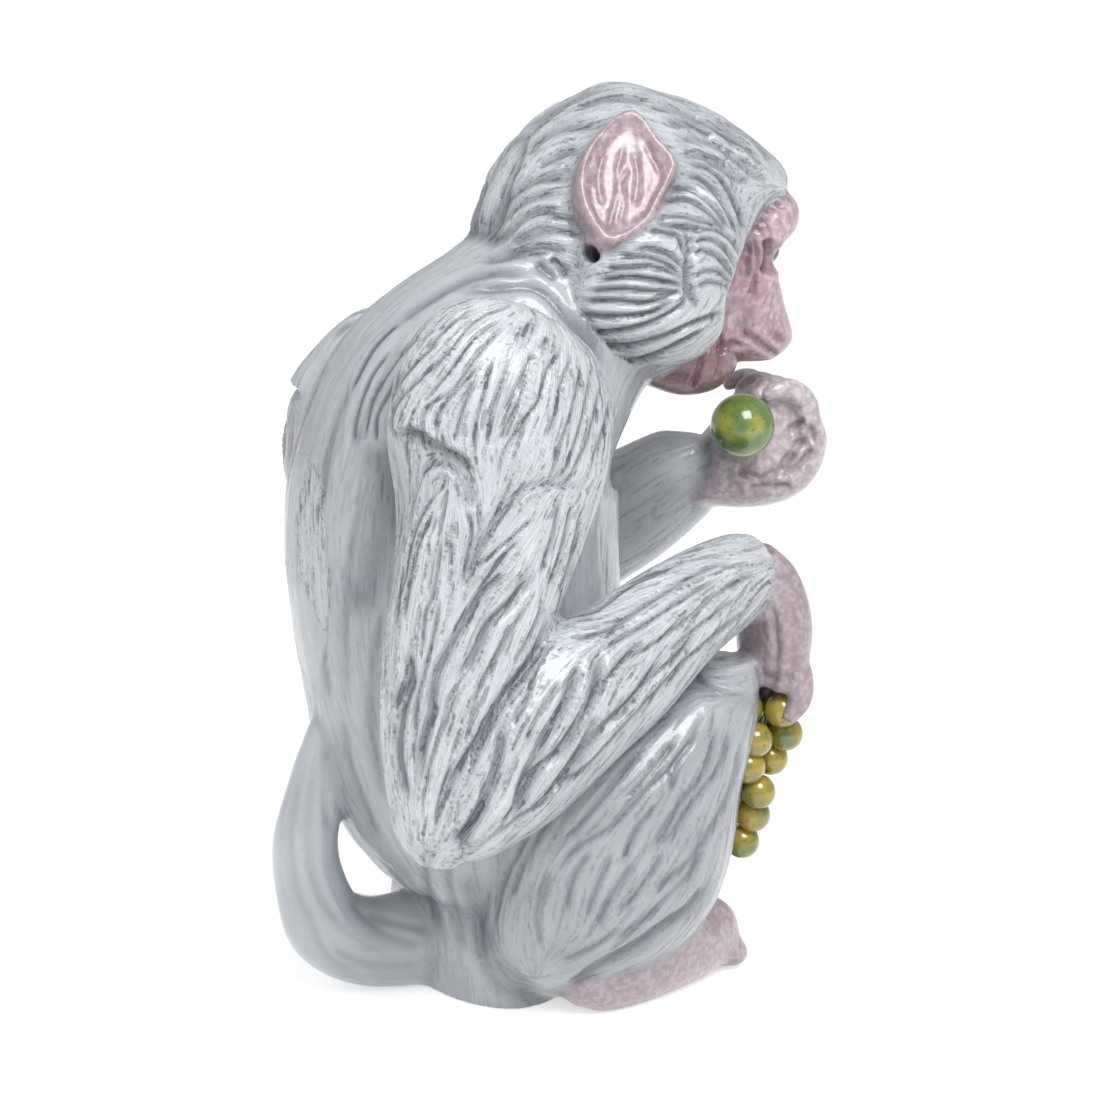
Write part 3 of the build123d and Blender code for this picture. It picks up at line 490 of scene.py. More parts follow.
# Lines carved by hand, drawn as they are seen from the camera in a picture 1100 wide. Each group has its nodes, its
# width in the picture, its depth in metres, how dark it is painted (grey glaze pooled in the line, and painted shade
# in the deep ones such as the armpit, the cap fold, the eye sockets and the vent), its marks, and its lines as x, y,
# x, y.
# A fold sinks only the skin on its right, seen along the line, and swells the other side a little. A near group is
# not mirrored to the far side, and an open one does not fade out at its ends.
carvedLines = {
    "capHair": ((*both("upper_arm"), "torso_shell"), 2.0, 0.0007, 0.8, "", [
        (472,307, 447,326, 425,351), (494,309, 468,326, 445,355, 417,381, 397,403, 391,424, 396,444),
        (502,318, 474,337, 449,371, 425,401), (506,323, 480,351, 453,389, 429,405, 422,422),
        (403,369, 387,397, 377,417, 375,444), (482,363, 458,389, 441,409, 435,430),
        (476,379, 466,401, 458,424, 454,442), (490,365, 484,393, 476,420, 472,448),
        (508,371, 498,393, 490,420, 488,444), (528,369, 514,393, 504,411),
        (563,347, 549,369, 538,401, 518,428, 504,452, 498,476), (573,355, 563,379, 555,413, 547,438),
        (581,369, 575,401, 565,432, 553,462), (591,373, 585,409, 575,444, 567,466),
        (601,385, 595,417, 585,448, 574,470), (611,401, 605,428, 593,460), (391,349, 370,379, 356,418, 352,444),
        (419,333, 389,369, 370,401, 364,440), (530,322, 520,337), (547,337, 540,349), (400,320, 372,350, 350,392),
        (440,340, 412,366, 392,392), (520,400, 508,424, 500,440), (534,350, 524,372, 516,392)]),
    # the cap fold's dark is painted shadow under the cap's edge
    "capFold": (both("upper_arm"), 16.0, 0.0034, 0.5, "fold", [
        (392,430, 417,429, 437,443, 462,455, 474,470)]),
    "tuftFolds": (both("upper_arm"), 11.0, 0.0026, 0.45, "fold", [
        (468,512, 466,498, 458,478, 443,467, 425,472, 417,494, 410,520),
        (590,492, 557,488, 532,490, 508,509, 492,533, 476,561, 466,590)]),
    "armValleys": (("upper_arm_right", "forearm_right"), 5.0, 0.0019, 0.75, "near", [
        (509,572, 487,587, 472,608, 453,642, 438,671, 432,696, 431,715, 421,751, 419,793),
        (535,574, 511,604, 489,625, 477,652, 458,681),
        (550,621, 535,657, 513,686, 496,710, 484,734, 460,768, 441,802), (407,652, 409,676, 399,696, 392,708),
        (416,674, 402,710, 397,754, 407,802), (501,725, 499,754, 489,790, 472,822, 453,846),
        (487,802, 472,827, 460,848), (601,652, 598,681, 588,710, 564,747, 535,773, 521,802, 513,822),
        (666,650, 642,691, 613,720, 586,749, 564,778, 545,802), (598,715, 581,749, 557,793),
        (579,667, 564,705, 545,739, 525,778, 516,812)]),
    "armLines": (("upper_arm_right", "forearm_right"), 2.2, 0.0008, 0.8, "near", [
        (441,486, 425,510, 413,537, 405,577, 399,598, 396,630), (433,515, 419,543, 409,587, 404,620),
        (441,539, 437,571, 431,598, 424,616, 421,657), (449,539, 451,567), (466,510, 472,530, 468,557, 462,590),
        (538,515, 508,541, 484,561, 474,569), (508,575, 490,587, 480,598, 468,622), (560,500, 552,540, 540,575),
        (572,505, 562,550, 548,590), (582,510, 572,560, 560,594), (520,540, 498,562, 480,590),
        (530,600, 506,640, 488,672, 474,700), (460,686, 448,717, 433,754, 424,795), (487,715, 477,742, 470,771),
        (545,606, 530,636, 514,664), (535,669, 528,696, 513,725), (440,600, 432,640, 420,690, 412,730),
        (452,760, 442,790, 434,824), (564,616, 598,608, 634,582, 683,562),
        (574,640, 610,628, 647,604, 695,574, 731,560), (598,652, 647,623, 683,599, 719,579),
        (622,662, 659,640, 695,613, 731,584, 758,574),
        (753,606, 719,633, 683,664, 634,715, 586,766, 525,814, 465,858), (640,640, 612,672, 596,700),
        (700,630, 664,668, 632,704, 600,736), (560,680, 540,712, 524,744), (548,760, 524,796, 500,826),
        (740,596, 700,626, 668,652)]),
    "napeLocks": (("head_shell", "torso_shell"), 4.6, 0.0013, 0.5, "", [
        (619,86, 578,94, 548,111, 528,133, 518,159, 501,198, 489,228, 471,244),
        (596,125, 564,127, 540,139, 528,155), (578,147, 558,155, 536,167),
        (568,177, 540,179, 518,190, 503,210, 491,232), (558,194, 532,198, 513,210, 497,228, 483,244),
        (584,226, 560,218, 540,212, 520,220, 505,234, 485,246), (580,234, 554,230, 528,238, 509,242),
        (568,254, 548,250, 524,252, 501,258, 479,260), (528,275, 501,273, 475,277, 449,287, 420,305, 390,327),
        (536,264, 556,279), (550,258, 568,275), (652,100, 612,96, 576,106), (512,172, 498,204, 484,232)]),
    "shoulderBorder": (("torso_shell", *both("upper_arm")), 5.0, 0.0014, 0.5, "", [
        (455,291, 500,288, 528,287, 548,297, 562,313, 588,341, 607,366)]),
    "browLocks": (("head_shell",), 4.2, 0.0012, 0.45, "", [
        (675,139, 698,139, 721,147, 739,161, 755,175, 773,181), (682,154, 702,156, 721,166, 737,179, 755,181),
        (714,120, 730,131, 750,149, 764,165), (725,115, 744,127, 762,147, 773,163), (650,104, 680,110, 704,122),
        (668,120, 694,126, 712,136), (692,112, 716,128, 738,148)]),
    "ruffFront": ((*both("cheek_ruff"), "head_shell"), 2.6, 0.0011, 0.7, "", [
        (688,164, 709,168, 725,184, 737,207, 744,230), (686,175, 702,179, 718,195, 730,216, 739,234),
        (670,191, 688,188, 707,200, 721,216, 730,230), (661,202, 684,199, 702,207, 718,221, 727,234),
        (656,218, 679,216, 702,221, 721,226), (695,244, 702,239, 716,241, 730,255, 739,273),
        (693,255, 702,250, 716,255, 727,267, 737,280), (695,276, 709,271, 721,273, 732,285),
        (698,287, 711,283, 725,285, 739,292), (692,232, 712,229, 730,238, 742,256)]),
    "ruffLobe": ((*both("cheek_ruff"), "head_shell"), 3.0, 0.0015, 0.85, "", [
        (649,230, 666,231, 679,237, 685,255), (633,250, 652,248, 670,255, 684,268),
        (604,268, 629,268, 656,267, 684,277), (594,280, 629,277, 659,281, 686,286),
        (585,292, 617,289, 652,292, 684,292), (581,301, 613,301, 647,303, 679,293),
        (578,315, 610,317, 648,314, 675,299), (581,331, 606,333, 643,326, 679,308, 688,294),
        (590,342, 620,347, 656,340, 698,322, 725,312), (606,356, 636,361, 670,349, 707,328),
        (618,256, 640,256, 664,262, 680,272)]),
    "ruffParting": (both("cheek_ruff"), 4.5, 0.0016, 0.7, "", [
        (685,230, 690,244, 688,267, 689,289, 698,308), (656,222, 684,226, 704,228)]),
    "earFolds": (both("ear"), 3.2, 0.0006, 0.55, "", [
        (624,145, 618,170, 617,198, 610,221, 608,234), (629,166, 622,184, 624,202, 619,225),
        (643,136, 652,156, 661,177, 652,198, 640,218), (625,114, 604,133, 594,152, 583,175),
        (634,150, 638,178, 634,206), (604,150, 598,178, 602,206), (590,180, 594,206, 604,226)]),
    "browWrinkles": (("face", "lower_jaw"), 2.6, 0.0012, 0.7, "", [
        (734,191, 755,202, 776,216), (732,200, 748,211, 767,225), (744,189, 767,198, 787,209),
        (737,216, 750,225, 762,232), (755,239, 757,267, 755,289, 750,299), (707,335, 700,365, 690,388),
        (718,331, 721,358, 716,381)]),
    # the sockets' dark is painted shadow
    "eyeSockets": (("face",), 5.5, 0.003, 1.3, "", [
        (766,238, 769,250, 768,262, 764,276)]),
    "mouth": (("face", "lower_jaw"), 3.4, 0.0012, 0.9, "", [
        (740,334, 756,340, 770,352, 780,357), (774,333, 784,341), (716,352, 730,344, 742,346)]),
    "cheek": (("face",), 9.0, 0.0018, 0.4, "", [
        (748,240, 746,262, 742,290, 730,316), (760,276, 752,300, 744,320, 738,336)]),
    "knuckles": (("hand_left",), 4.0, 0.0016, 0.75, "near open", [
        (742,472, 760,478, 778,470, 792,454), (752,487, 768,486), (786,474, 796,466), (796,446, 806,440),
        (802,462, 810,452), (792,428, 800,422), (810,430, 816,438), (776,486, 786,486)]),
    "nearFingers": (("hand_right",), 3.6, 0.0007, 0.3, "near", [
        (764,586, 774,620, 776,660, 768,700), (784,590, 794,624, 794,660, 784,694), (750,576, 772,574, 792,580),
        (760,672, 776,680, 796,676)]),
    "legStreaks": (both("leg"), 3.4, 0.0007, 0.4, "", [
        (705,715, 683,754, 647,790, 610,827, 579,846, 559,865), (695,739, 676,761, 671,793),
        (729,730, 719,766, 693,802, 664,846), (659,802, 635,831, 622,863), (716,730, 704,770, 676,810, 650,850),
        (740,740, 734,780, 716,820, 690,860, 650,896), (640,750, 600,800, 566,840), (590,850, 572,880, 566,912),
        (612,852, 596,890, 586,920), (636,860, 612,896, 598,930), (664,852, 644,884, 620,914),
        (704,848, 684,880, 648,916, 612,944), (560,800, 530,850, 508,900), (530,830, 504,880, 492,930),
        (620,930, 590,950, 560,962), (676,740, 650,774, 624,800), (550,870, 536,910, 540,950)]),
    "furHem": ((*both("foot"), *both("leg")), 5.0, 0.0016, 0.5, "", [
        (712,880, 690,908, 664,926, 640,944, 600,966, 566,990)]),
    "kneeEdge": (both("leg"), 9.0, 0.0016, 0.25, "fold", [
        (686,648, 694,668, 710,684, 732,692, 756,692)]),
    "haunch": (("torso_shell", *both("leg")), 12.0, 0.0012, 0.4, "", [
        (470,872, 476,920, 500,968, 540,1000)]),
    # the armpit is a broad painted shade
    "armpit": (("torso_shell", *both("upper_arm")), 20.0, 0.0016, 0.5, "", [
        (372,440, 384,486, 374,560, 352,620)]),
    # the vent's dark is painted shade inside the hole
    "vent": (("head_shell", "cheek_ruff_right", "ear_right"), 5.0, 0.0045, 1.9, "near open", [
        (591,252, 592,255, 593,256)]),
    "backStreaks": (("torso_shell",), 5.0, 0.0008, 0.35, "", [
        (350,380, 330,440, 318,520, 312,600), (370,470, 352,540, 344,620, 348,700),
        (384,600, 372,670, 374,740, 384,800), (330,560, 322,640, 330,700), (390,620, 384,700, 392,780, 410,850),
        (340,720, 352,780, 376,840), (420,830, 424,880, 440,930), (446,850, 452,900, 466,950),
        (402,340, 372,400, 352,450)]),
    "tailStreaks": (("tail",), 5.0, 0.0005, 0.2, "", [
        (300,770, 290,830, 296,890, 320,940), (316,760, 308,820, 314,880, 340,926), (350,900, 380,930, 420,944),
        (330,950, 370,964, 420,966), (326,740, 324,790, 330,830), (360,914, 400,924, 430,930),
        (304,900, 324,952, 356,974)]),
}
guideValues = {
    "perSpan": 4, "reach": 16.0, "guideShare": 0.35, "margin": 3.5, "taper": 0.14, "leastTaper": 0.15,
    "swell": 0.3, "foldEdge": 2.4, "lip": 0.25,
    # how far skin has to face the camera, and how far past the middle the mirrored lines reach
    "leastFacing": 0.05, "facingSpan": 0.2, "middle": 0.006,
}
halfPicture = 550.0


def seenAt(points, values):
    back, right, up = cameraFrame(values)
    away = points - (np.array(values["target"]) + back * values["distance"])
    scale = values["lens"] / values["sensor"] * 2 * halfPicture / -(away @ back)
    return np.column_stack([halfPicture + scale * (away @ right), halfPicture - scale * (away @ up)])


# Distance from a drawn line, positive on its right, with the share of the way along it and its heading there
def measureLine(spots, path):
    gap = np.full(len(spots), 1e6)
    side, share, heading = np.zeros(len(spots)), np.zeros(len(spots)), np.zeros((len(spots), 2))
    for i in range(len(path) - 1):
        step = path[i + 1] - path[i]
        away = spots - path[i]
        reach = np.clip(away @ step / (step @ step), 0, 1)
        off = np.linalg.norm(away - reach[:, None] * step, axis=1)
        closer = off < gap
        gap[closer] = off[closer]
        side[closer] = np.sign(step[0] * away[closer, 1] - step[1] * away[closer, 0])
        share[closer] = (i + reach[closer]) / (len(path) - 1)
        heading[closer] = step / np.sqrt(step @ step)
    return gap, side, share, heading


def carveLines(values):
    sink, dark = np.zeros(len(places)), np.zeros(len(places))
    lead = np.zeros_like(places)
    back, right, up = cameraFrame(cameraValues)
    for flip in (np.ones(3), mirror):
        spots = seenAt(places * flip, cameraValues)
        facing = np.clip(((normals * flip) @ back - values["leastFacing"]) / values["facingSpan"], 0, 1)
        near = (facing > 0) & (places[:, 0] * flip[0] < values["middle"])
        for nodes, width, fullDepth, fullDark, marks, lines in carvedLines.values():
            if flip[0] < 0 and "near" in marks:
                continue
            allowed = (facing > 0 if "near" in marks else near) & isNode(*nodes)
            margin = max(values["margin"] * width, values["reach"] * 2)
            for line in lines:
                path = throughRows(np.array(line, float).reshape(-1, 2), values["perSpan"])
                inside = allowed & (spots > path.min(0) - margin).all(1) & (spots < path.max(0) + margin).all(1)
                chosen = np.where(inside)[0]
                gap, side, share, heading = measureLine(spots[chosen], path)
                taper = np.minimum(share, 1 - share) / values["taper"] + values["leastTaper"]
                taper = (1.0 if "open" in marks else np.clip(taper, 0, 1)) * facing[chosen]
                if "fold" in marks:
                    signed = gap * side
                    below = np.clip(signed / values["foldEdge"] + 0.5, 0, 1)
                    strength = np.exp(-np.maximum(signed, 0) / width) * below
                    depth = strength - values["swell"] * np.exp(-gap / width) * (1 - below)
                else:
                    strength = np.exp(-(gap / width) ** 2)
                    depth = strength - values["lip"] * np.exp(-((gap - 2 * width) / width) ** 2)
                sink[chosen] += depth * taper * fullDepth
                dark[chosen] = np.maximum(dark[chosen], strength * taper * fullDark)
                guide = (right * heading[:, :1] - up * heading[:, 1:]) * flip
                guide *= np.sign((guide * flow[chosen]).sum(1, keepdims=True) + 1e-9)
                lead[chosen] += guide * (np.exp(-(gap / values["reach"]) ** 2) * facing[chosen])[:, None]
    return sink, dark, lead


# Hair. Clay is combed along a direction at each point; the streaks are noise drawn out along it.
hairValues = {"step": 0.0011, "steps": 16, "cell": 0.0011, "seed": 7, "flowSteps": 10,
              # how soft the noise is, and how many steps it is drawn out
              "fine": (1, 10), "line": (6, 16), "lock": (30, 16), "lockSteps": 2}


def flatten(vectors, normals):
    return unit(vectors - normals * (vectors * normals).sum(-1, keepdims=True))


def nearestTable(points, cell):
    low = points.min(0) - 3 * cell
    size = np.ceil((points.max(0) + 3 * cell - low) / cell).astype(int)
    table = np.full(size, -1, np.int32)
    at = ((points - low) / cell).astype(int)
    table[at[:, 0], at[:, 1], at[:, 2]] = np.arange(len(points))
    for _ in range(2):
        for axis in range(3):
            for way in (1, -1):
                moved = np.roll(table, way, axis)
                table = np.where(table < 0, moved, table)
    return table, low, cell


def lookUp(table, spots):
    grid, low, cell = table
    at = np.clip(((spots - low) / cell).astype(int), 0, np.array(grid.shape) - 1)
    return grid[at[:, 0], at[:, 1], at[:, 2]]


# The points that lie ahead of and behind each point along the hair
def followHair(points, normals, flow):
    table = nearestTable(points, hairValues["cell"])
    ways = []
    for way in (1.0, -1.0):
        spot = points.copy()
        at = np.arange(len(points))
        heading = flow * way
        walked = []
        for _ in range(hairValues["steps"]):
            turn = flow[at]
            turn = turn * np.sign((turn * heading).sum(-1, keepdims=True) + 1e-9)
            heading = turn
            spot = spot + heading * hairValues["step"]
            found = lookUp(table, spot)
            at = np.where(found < 0, at, found)
            spot = spot - normals[at] * ((spot - points[at]) * normals[at]).sum(-1, keepdims=True)
            walked.append(at.astype(np.int32))
        ways.append(np.array(walked))
    return ways


def drawOut(noise, ways, reach):
    reach = min(reach, hairValues["steps"])
    weights = np.cos(np.linspace(0, np.pi / 2, reach + 1))[1:]
    total = noise.copy()
    for walked in ways:
        for k in range(reach):
            total += weights[k] * noise[walked[k]]
    return total / total.std()


flow = flatten(flow, normals)
lineSink, lineDark, lead = carveLines(guideValues)
print("lines carved")
flow = flatten(flow * guideValues["guideShare"] + lead, normals)
flow = flatten(spread(flow, hairValues["flowSteps"]), normals)
ways = followHair(places, normals, flow)
maker = np.random.default_rng(hairValues["seed"])


def combHair(softSteps, reach):
    noise = spread(maker.standard_normal(len(places)), softSteps)
    return drawOut(noise / noise.std(), ways, reach)


fineHair = combHair(*hairValues["fine"])
lineHair = combHair(*hairValues["line"])
lockHair = spread(combHair(*hairValues["lock"]), hairValues["lockSteps"])
print("hair combed")

# Depth of the locks, incised lines and fine hair on some pieces, in metres
hairDepths = {
    ("torso_shell",): (0.0003, 0.0001, 0.00004),
    both("leg"): (0.00035, 0.00015, 0.00006),
    ("head_shell",): (0.0004, 0.0003, 0.00012),
    both("cheek_ruff"): (0.0002, 0.0003, 0.00014),
    ("upper_arm_right", "forearm_right"): (0.0003, 0.0004, 0.00016),
    ("upper_arm_left",): (0.0003, 0.00015, 0.00006),
    ("forearm_left",): (0.0005, 0.00015, 0.00006),
    ("tail",): (0.00015, 0.00005, 0.00002),
}
valleyValues = {
    "lockWidth": 0.24, "lineWidth": 0.16, "lockDark": 0.28, "lineDark": 0.5, "fineSpan": 2.0, "depthSteps": 8,
    "fullHair": 0.0004, "fullHollow": 0.0012, "hollowSteps": 40, "hollowShare": 0.6,
}


# What a dictionary gives the points of its nodes
def perNode(values, columns):
    given = np.zeros((len(places), columns))
    for names, value in values.items():
        given[isNode(*names)] = value
    return given


# Rounded locks with a sharp valley between them
def valleys(noise, width):
    return np.exp(-np.abs(noise) / width)


depths = spread(perNode(hairDepths, 3), valleyValues["depthSteps"])
lockValley = valleys(lockHair, valleyValues["lockWidth"])
lineValley = valleys(lineHair, valleyValues["lineWidth"])
sink = depths[:, 0] * lockValley + depths[:, 1] * lineValley
sink = sink + depths[:, 2] * (0.5 - 0.5 * np.clip(fineHair / valleyValues["fineSpan"], -1, 1)) + lineSink
# How far each point lies below the smoothed skin, which later paints shade into hollows and a highlight onto raised
# places
hollow = ((spread(places, valleyValues["hollowSteps"], valleyValues["hollowShare"]) - places) * normals).sum(-1)
places = places - normals * sink[:, None]
places[:, 2] = np.maximum(places[:, 2], 0.0)
normals = skinNormals(places)
haired = np.clip(depths[:, 1] / valleyValues["fullHair"], 0, 1)
# groove: how much grey the valleys and carved lines get, as pooled glaze and painted shade
groove = (lockValley * valleyValues["lockDark"] + lineValley * valleyValues["lineDark"]) * haired
groove = np.clip(groove, 0, 1) * (1 - np.clip(lineDark, 0, 1)) + lineDark
hollow = np.clip(hollow / valleyValues["fullHollow"], -1, 1)
print("hair carved")

# Glazes
glazeValues = {
    # The dark grey is pooled glaze with painted shade, the near white a painted highlight on ridges, and the near
    # black a painted shadow inside holes and sockets
    "white": (0.70, 0.745, 0.785), "poolAndShade": (0.13, 0.14, 0.165), "edgeHighlight": (0.90, 0.93, 0.95),
    "rose": (0.45, 0.29, 0.335), "roseLight": (0.66, 0.51, 0.57), "roseDark": (0.15, 0.052, 0.066),
    "handRose": (0.47, 0.40, 0.44), "handLight": (0.66, 0.61, 0.64), "holeShadowColour": (0.025, 0.022, 0.020),
}
# How much of the grey each mark gets, as pooled glaze and painted shade, how strong the painted highlight on ridges
# and raised skin is, how far skin is mottled, and the heights for the bump
glazeShares = {
    "groove": 0.85, "line": 0.42, "streak": 0.16, "hollow": 0.55, "cloud": 0.08, "ridgeHighlight": 0.8,
    "patches": 0.35, "skinStreaks": 0.5, "skinHighlight": -0.9, "skinHollowShade": 0.6, "skinGroove": 0.6,
    "rough": 0.34, "roughCloud": 0.10, "coat": 0.75, "coatGroove": 0.35,
    "bumps": 0.10, "knobs": 0.9, "streakDepth": 0.7, "lineDepth": 1.2, "holeShadow": 2.5,
}
# Each noise's scale and detail, and where it starts and ends
glazeNoise = {
    "cloud": (38.0, 3.0, 0.35, 0.65), "spots": (420.0, 2.0, 0.42, 0.62), "patches": (130.0, 3.0, 0.38, 0.66),
    "bumps": (900.0, 2.0, 0.3, 0.7), "knobs": (380.0, 2.0, 0.35, 0.65),
}
# Scale and reach of the noise along the hair, and where its lines and streaks start and end
strandNoise = {
    "line": (620.0, 0.0046), "streak": (1500.0, 0.0022),
    "lineEdge": (0.465, 0.425), "streakEdge": (0.46, 0.56), "skinEdge": (0.49, 0.42),
}
# How much greyer or darker some pieces are painted, partly the glaze's own tone and partly painted shade where they
# lie out of the light
shadeShares = {
    ("lower_jaw",): 0.66, both("leg"): 0.48, ("hand_right",): 0.34, both("foot"): 0.24, ("torso_shell",): 0.34,
    ("forearm_left",): 0.28, both("ear"): 0.32, ("tail",): 0.30, ("upper_arm_left",): 0.30, ("head_shell",): 0.24,
    both("cheek_ruff"): 0.18, ("forearm_right",): 0.09, ("upper_arm_right",): 0.06,
}
toneValues = {"shadeSteps": 30, "paleEars": 0.8, "paleSteps": 14}
shade = spread(perNode(shadeShares, 1)[:, 0], toneValues["shadeSteps"])
pale = spread(limb + toneValues["paleEars"] * isNode(*both("ear")), toneValues["paleSteps"])


def newNode(tree, kind, **settings):
    node = tree.nodes.new(kind)
    for name, value in settings.items():
        setattr(node, name, value)
    return node


# Links a value that is an output, and sets one that is a number or a colour
def feed(tree, socket, value):
    if isinstance(value, bpy.types.NodeSocket):
        tree.links.new(value, socket)
    else:
        socket.default_value = (*value, 1.0) if isinstance(value, tuple) else value


def setInputs(node, values):
    for name, value in values.items():
        node.inputs[name].default_value = value


def mixColours(tree, share, first, second):
    node = newNode(tree, "ShaderNodeMix", data_type="RGBA")
    for number, value in ((0, share), (6, first), (7, second)):
        feed(tree, node.inputs[number], value)
    return node.outputs[2]


def work(tree, operation, first, second=0.0, clamp=False):
    node = newNode(tree, "ShaderNodeMath", operation=operation, use_clamp=clamp)
    feed(tree, node.inputs[0], first)
    feed(tree, node.inputs[1], second)
    return node.outputs[0]


def between(tree, value, low, high):
    ramp = newNode(tree, "ShaderNodeMapRange")
    setInputs(ramp, {"From Min": low, "From Max": high})
    tree.links.new(value, ramp.inputs["Value"])
    return ramp.outputs[0]


def noiseAt(tree, place, scale, detail):
    noise = newNode(tree, "ShaderNodeTexNoise")
    setInputs(noise, {"Scale": scale, "Detail": detail})
    tree.links.new(place, noise.inputs["Vector"])
    return noise.outputs["Fac"]


def noiseMask(tree, scale, detail, low, high):
    place = newNode(tree, "ShaderNodeTexCoord").outputs["Object"]
    return between(tree, noiseAt(tree, place, scale, detail), low, high)


# Noise drawn out along the hair: the mean of the noise at places ahead and behind
def drawnNoise(tree, scale, reach, samples=9):
    place = newNode(tree, "ShaderNodeTexCoord").outputs["Object"]
    hair = newNode(tree, "ShaderNodeAttribute", attribute_name="flow").outputs["Vector"]
    total = 0.0
    for k in range(samples):
        moved = newNode(tree, "ShaderNodeVectorMath", operation="MULTIPLY_ADD")
        tree.links.new(hair, moved.inputs[0])
        moved.inputs[1].default_value = (reach * (2 * k / (samples - 1) - 1),) * 3
        tree.links.new(place, moved.inputs[2])
        total = work(tree, "ADD", noiseAt(tree, moved.outputs[0], scale, 0.0), total)
    return work(tree, "DIVIDE", total, float(samples))


def makeGlazeGroup(colours, shares, noises, strands):
    group = bpy.data.node_groups.new("carvedGlaze", "ShaderNodeTree")
    for name in ("Colour", "Roughness", "Height", "Coat"):
        kind = "NodeSocketColor" if name == "Colour" else "NodeSocketFloat"
        group.interface.new_socket(name=name, in_out="OUTPUT", socket_type=kind)
    out = newNode(group, "NodeGroupOutput")

    def read(name):
        return newNode(group, "ShaderNodeAttribute", attribute_name=name).outputs["Fac"]

    def times(first, second, clamp=False):
        return work(group, "MULTIPLY", first, shares[second] if isinstance(second, str) else second, clamp)

    def blend(share, *pair):
        return mixColours(group, share, *[colours[one] if isinstance(one, str) else one for one in pair])

    groove, hollow, blush, haired, pale, shade = map(read, ("groove", "hollow", "blush", "haired", "pale", "shade"))
    hollowShade = work(group, "MAXIMUM", hollow, 0.0)
    lineNoise, streakNoise = drawnNoise(group, *strands["line"]), drawnNoise(group, *strands["streak"])
    line = times(between(group, lineNoise, *strands["lineEdge"]), haired)
    streak = times(between(group, streakNoise, *strands["streakEdge"]), haired)
    # white glaze: a painted highlight on the ridges; grey in the grooves from pooled glaze and painted shade, and
    # painted shade in the hollows and on shaded pieces
    cloud = noiseMask(group, *noises["cloud"])
    # painted shade: the grey starts from each piece's painted shade; grooves, lines and streaks add pooled glaze
    # with painted shade, hollows add painted shade, and the cloud adds a random tone
    pooledAndShaded = shade
    full = work(group, "MINIMUM", groove, 1.0)
    for mark, share in ((full, "groove"), (line, "line"), (streak, "streak"), (hollowShade, "hollow"), (cloud, "cloud")):
        pooledAndShaded = work(group, "ADD", pooledAndShaded, times(mark, share), clamp=True)
    fur = blend(pooledAndShaded, "white", "poolAndShade")
    # painted highlight: raised places away from the grooves are painted near white
    ridgeHighlight = times(work(group, "MAXIMUM", times(hollow, -1.0), 0.0), "ridgeHighlight")
    fur = blend(times(ridgeHighlight, work(group, "SUBTRACT", 1.0, groove), clamp=True), fur, "edgeHighlight")
    # rose glaze: crawled into lighter and darker spots
    spots, patches = noiseMask(group, *noises["spots"]), noiseMask(group, *noises["patches"])
    skinColour = blend(times(patches, "patches"), blend(spots, "rose", "roseLight"), "roseDark")
    streaked = between(group, lineNoise, *strands["skinEdge"])
    skinColour = blend(times(streaked, "skinStreaks"), skinColour, "roseDark")
    # painted highlight on raised skin, and painted shade in its hollows
    skinColour = blend(times(hollow, "skinHighlight", clamp=True), skinColour, "roseLight")
    skinColour = blend(times(hollowShade, "skinHollowShade"), skinColour, "roseDark")
    paleSkin = blend(times(patches, "patches"), blend(spots, "handRose", "handLight"), "rose")
    skinColour = blend(pale, skinColour, paleSkin)
    # grooves in the skin get pooled glaze and painted shade, and shaded pieces their painted shade
    skinColour = blend(times(groove, "skinGroove", clamp=True), skinColour, "roseDark")
    skinColour = blend(shade, skinColour, "roseDark")
    # painted shadow: inside the vent hole and the eye sockets the glaze is painted near black
    holeShadow = times(work(group, "SUBTRACT", groove, 1.0), "holeShadow", clamp=True)
    colour = blend(holeShadow, blend(blush, fur, skinColour), "holeShadowColour")
    bumps, knobs = noiseMask(group, *noises["bumps"]), noiseMask(group, *noises["knobs"])
    height = work(group, "SUBTRACT", times(bumps, "bumps"), times(streak, "streakDepth"))
    height = work(group, "SUBTRACT", height, times(line, "lineDepth"))
    height = work(group, "ADD", height, times(times(knobs, blush), "knobs"))
    rough = work(group, "ADD", times(cloud, "roughCloud"), shares["rough"])
    coat = work(group, "SUBTRACT", shares["coat"], times(groove, "coatGroove"))
    for name, value in (("Colour", colour), ("Roughness", rough), ("Height", height), ("Coat", coat)):
        group.links.new(value, out.inputs[name])
    return group


glazeGroup = makeGlazeGroup(glazeValues, glazeShares, glazeNoise, strandNoise)
# The coat and the bump of each carved glaze
coatValues = {
    "whiteGlaze": ({"Coat Roughness": 0.16, "Coat IOR": 1.5}, {"Strength": 0.7, "Distance": 0.0004}),
    "roseGlaze": ({"Coat Roughness": 0.20, "Coat IOR": 1.5}, {"Strength": 0.5, "Distance": 0.0003}),
}


def newMaterial(name):
    material = bpy.data.materials.new(name)
    material.use_nodes = True
    return material, material.node_tree, material.node_tree.nodes["Principled BSDF"]


def glazeMaterial(name, coat, bumps):
    material, tree, shader = newMaterial(name)
    glaze = newNode(tree, "ShaderNodeGroup", node_tree=glazeGroup)
    for output, socket in (("Colour", "Base Color"), ("Roughness", "Roughness"), ("Coat", "Coat Weight")):
        tree.links.new(glaze.outputs[output], shader.inputs[socket])
    bump = newNode(tree, "ShaderNodeBump")
    setInputs(shader, coat)
    setInputs(bump, bumps)
    tree.links.new(glaze.outputs["Height"], bump.inputs["Height"])
    tree.links.new(bump.outputs["Normal"], shader.inputs["Normal"])
    return material


whiteGlaze, roseGlaze = [glazeMaterial(name, *values) for name, values in coatValues.items()]


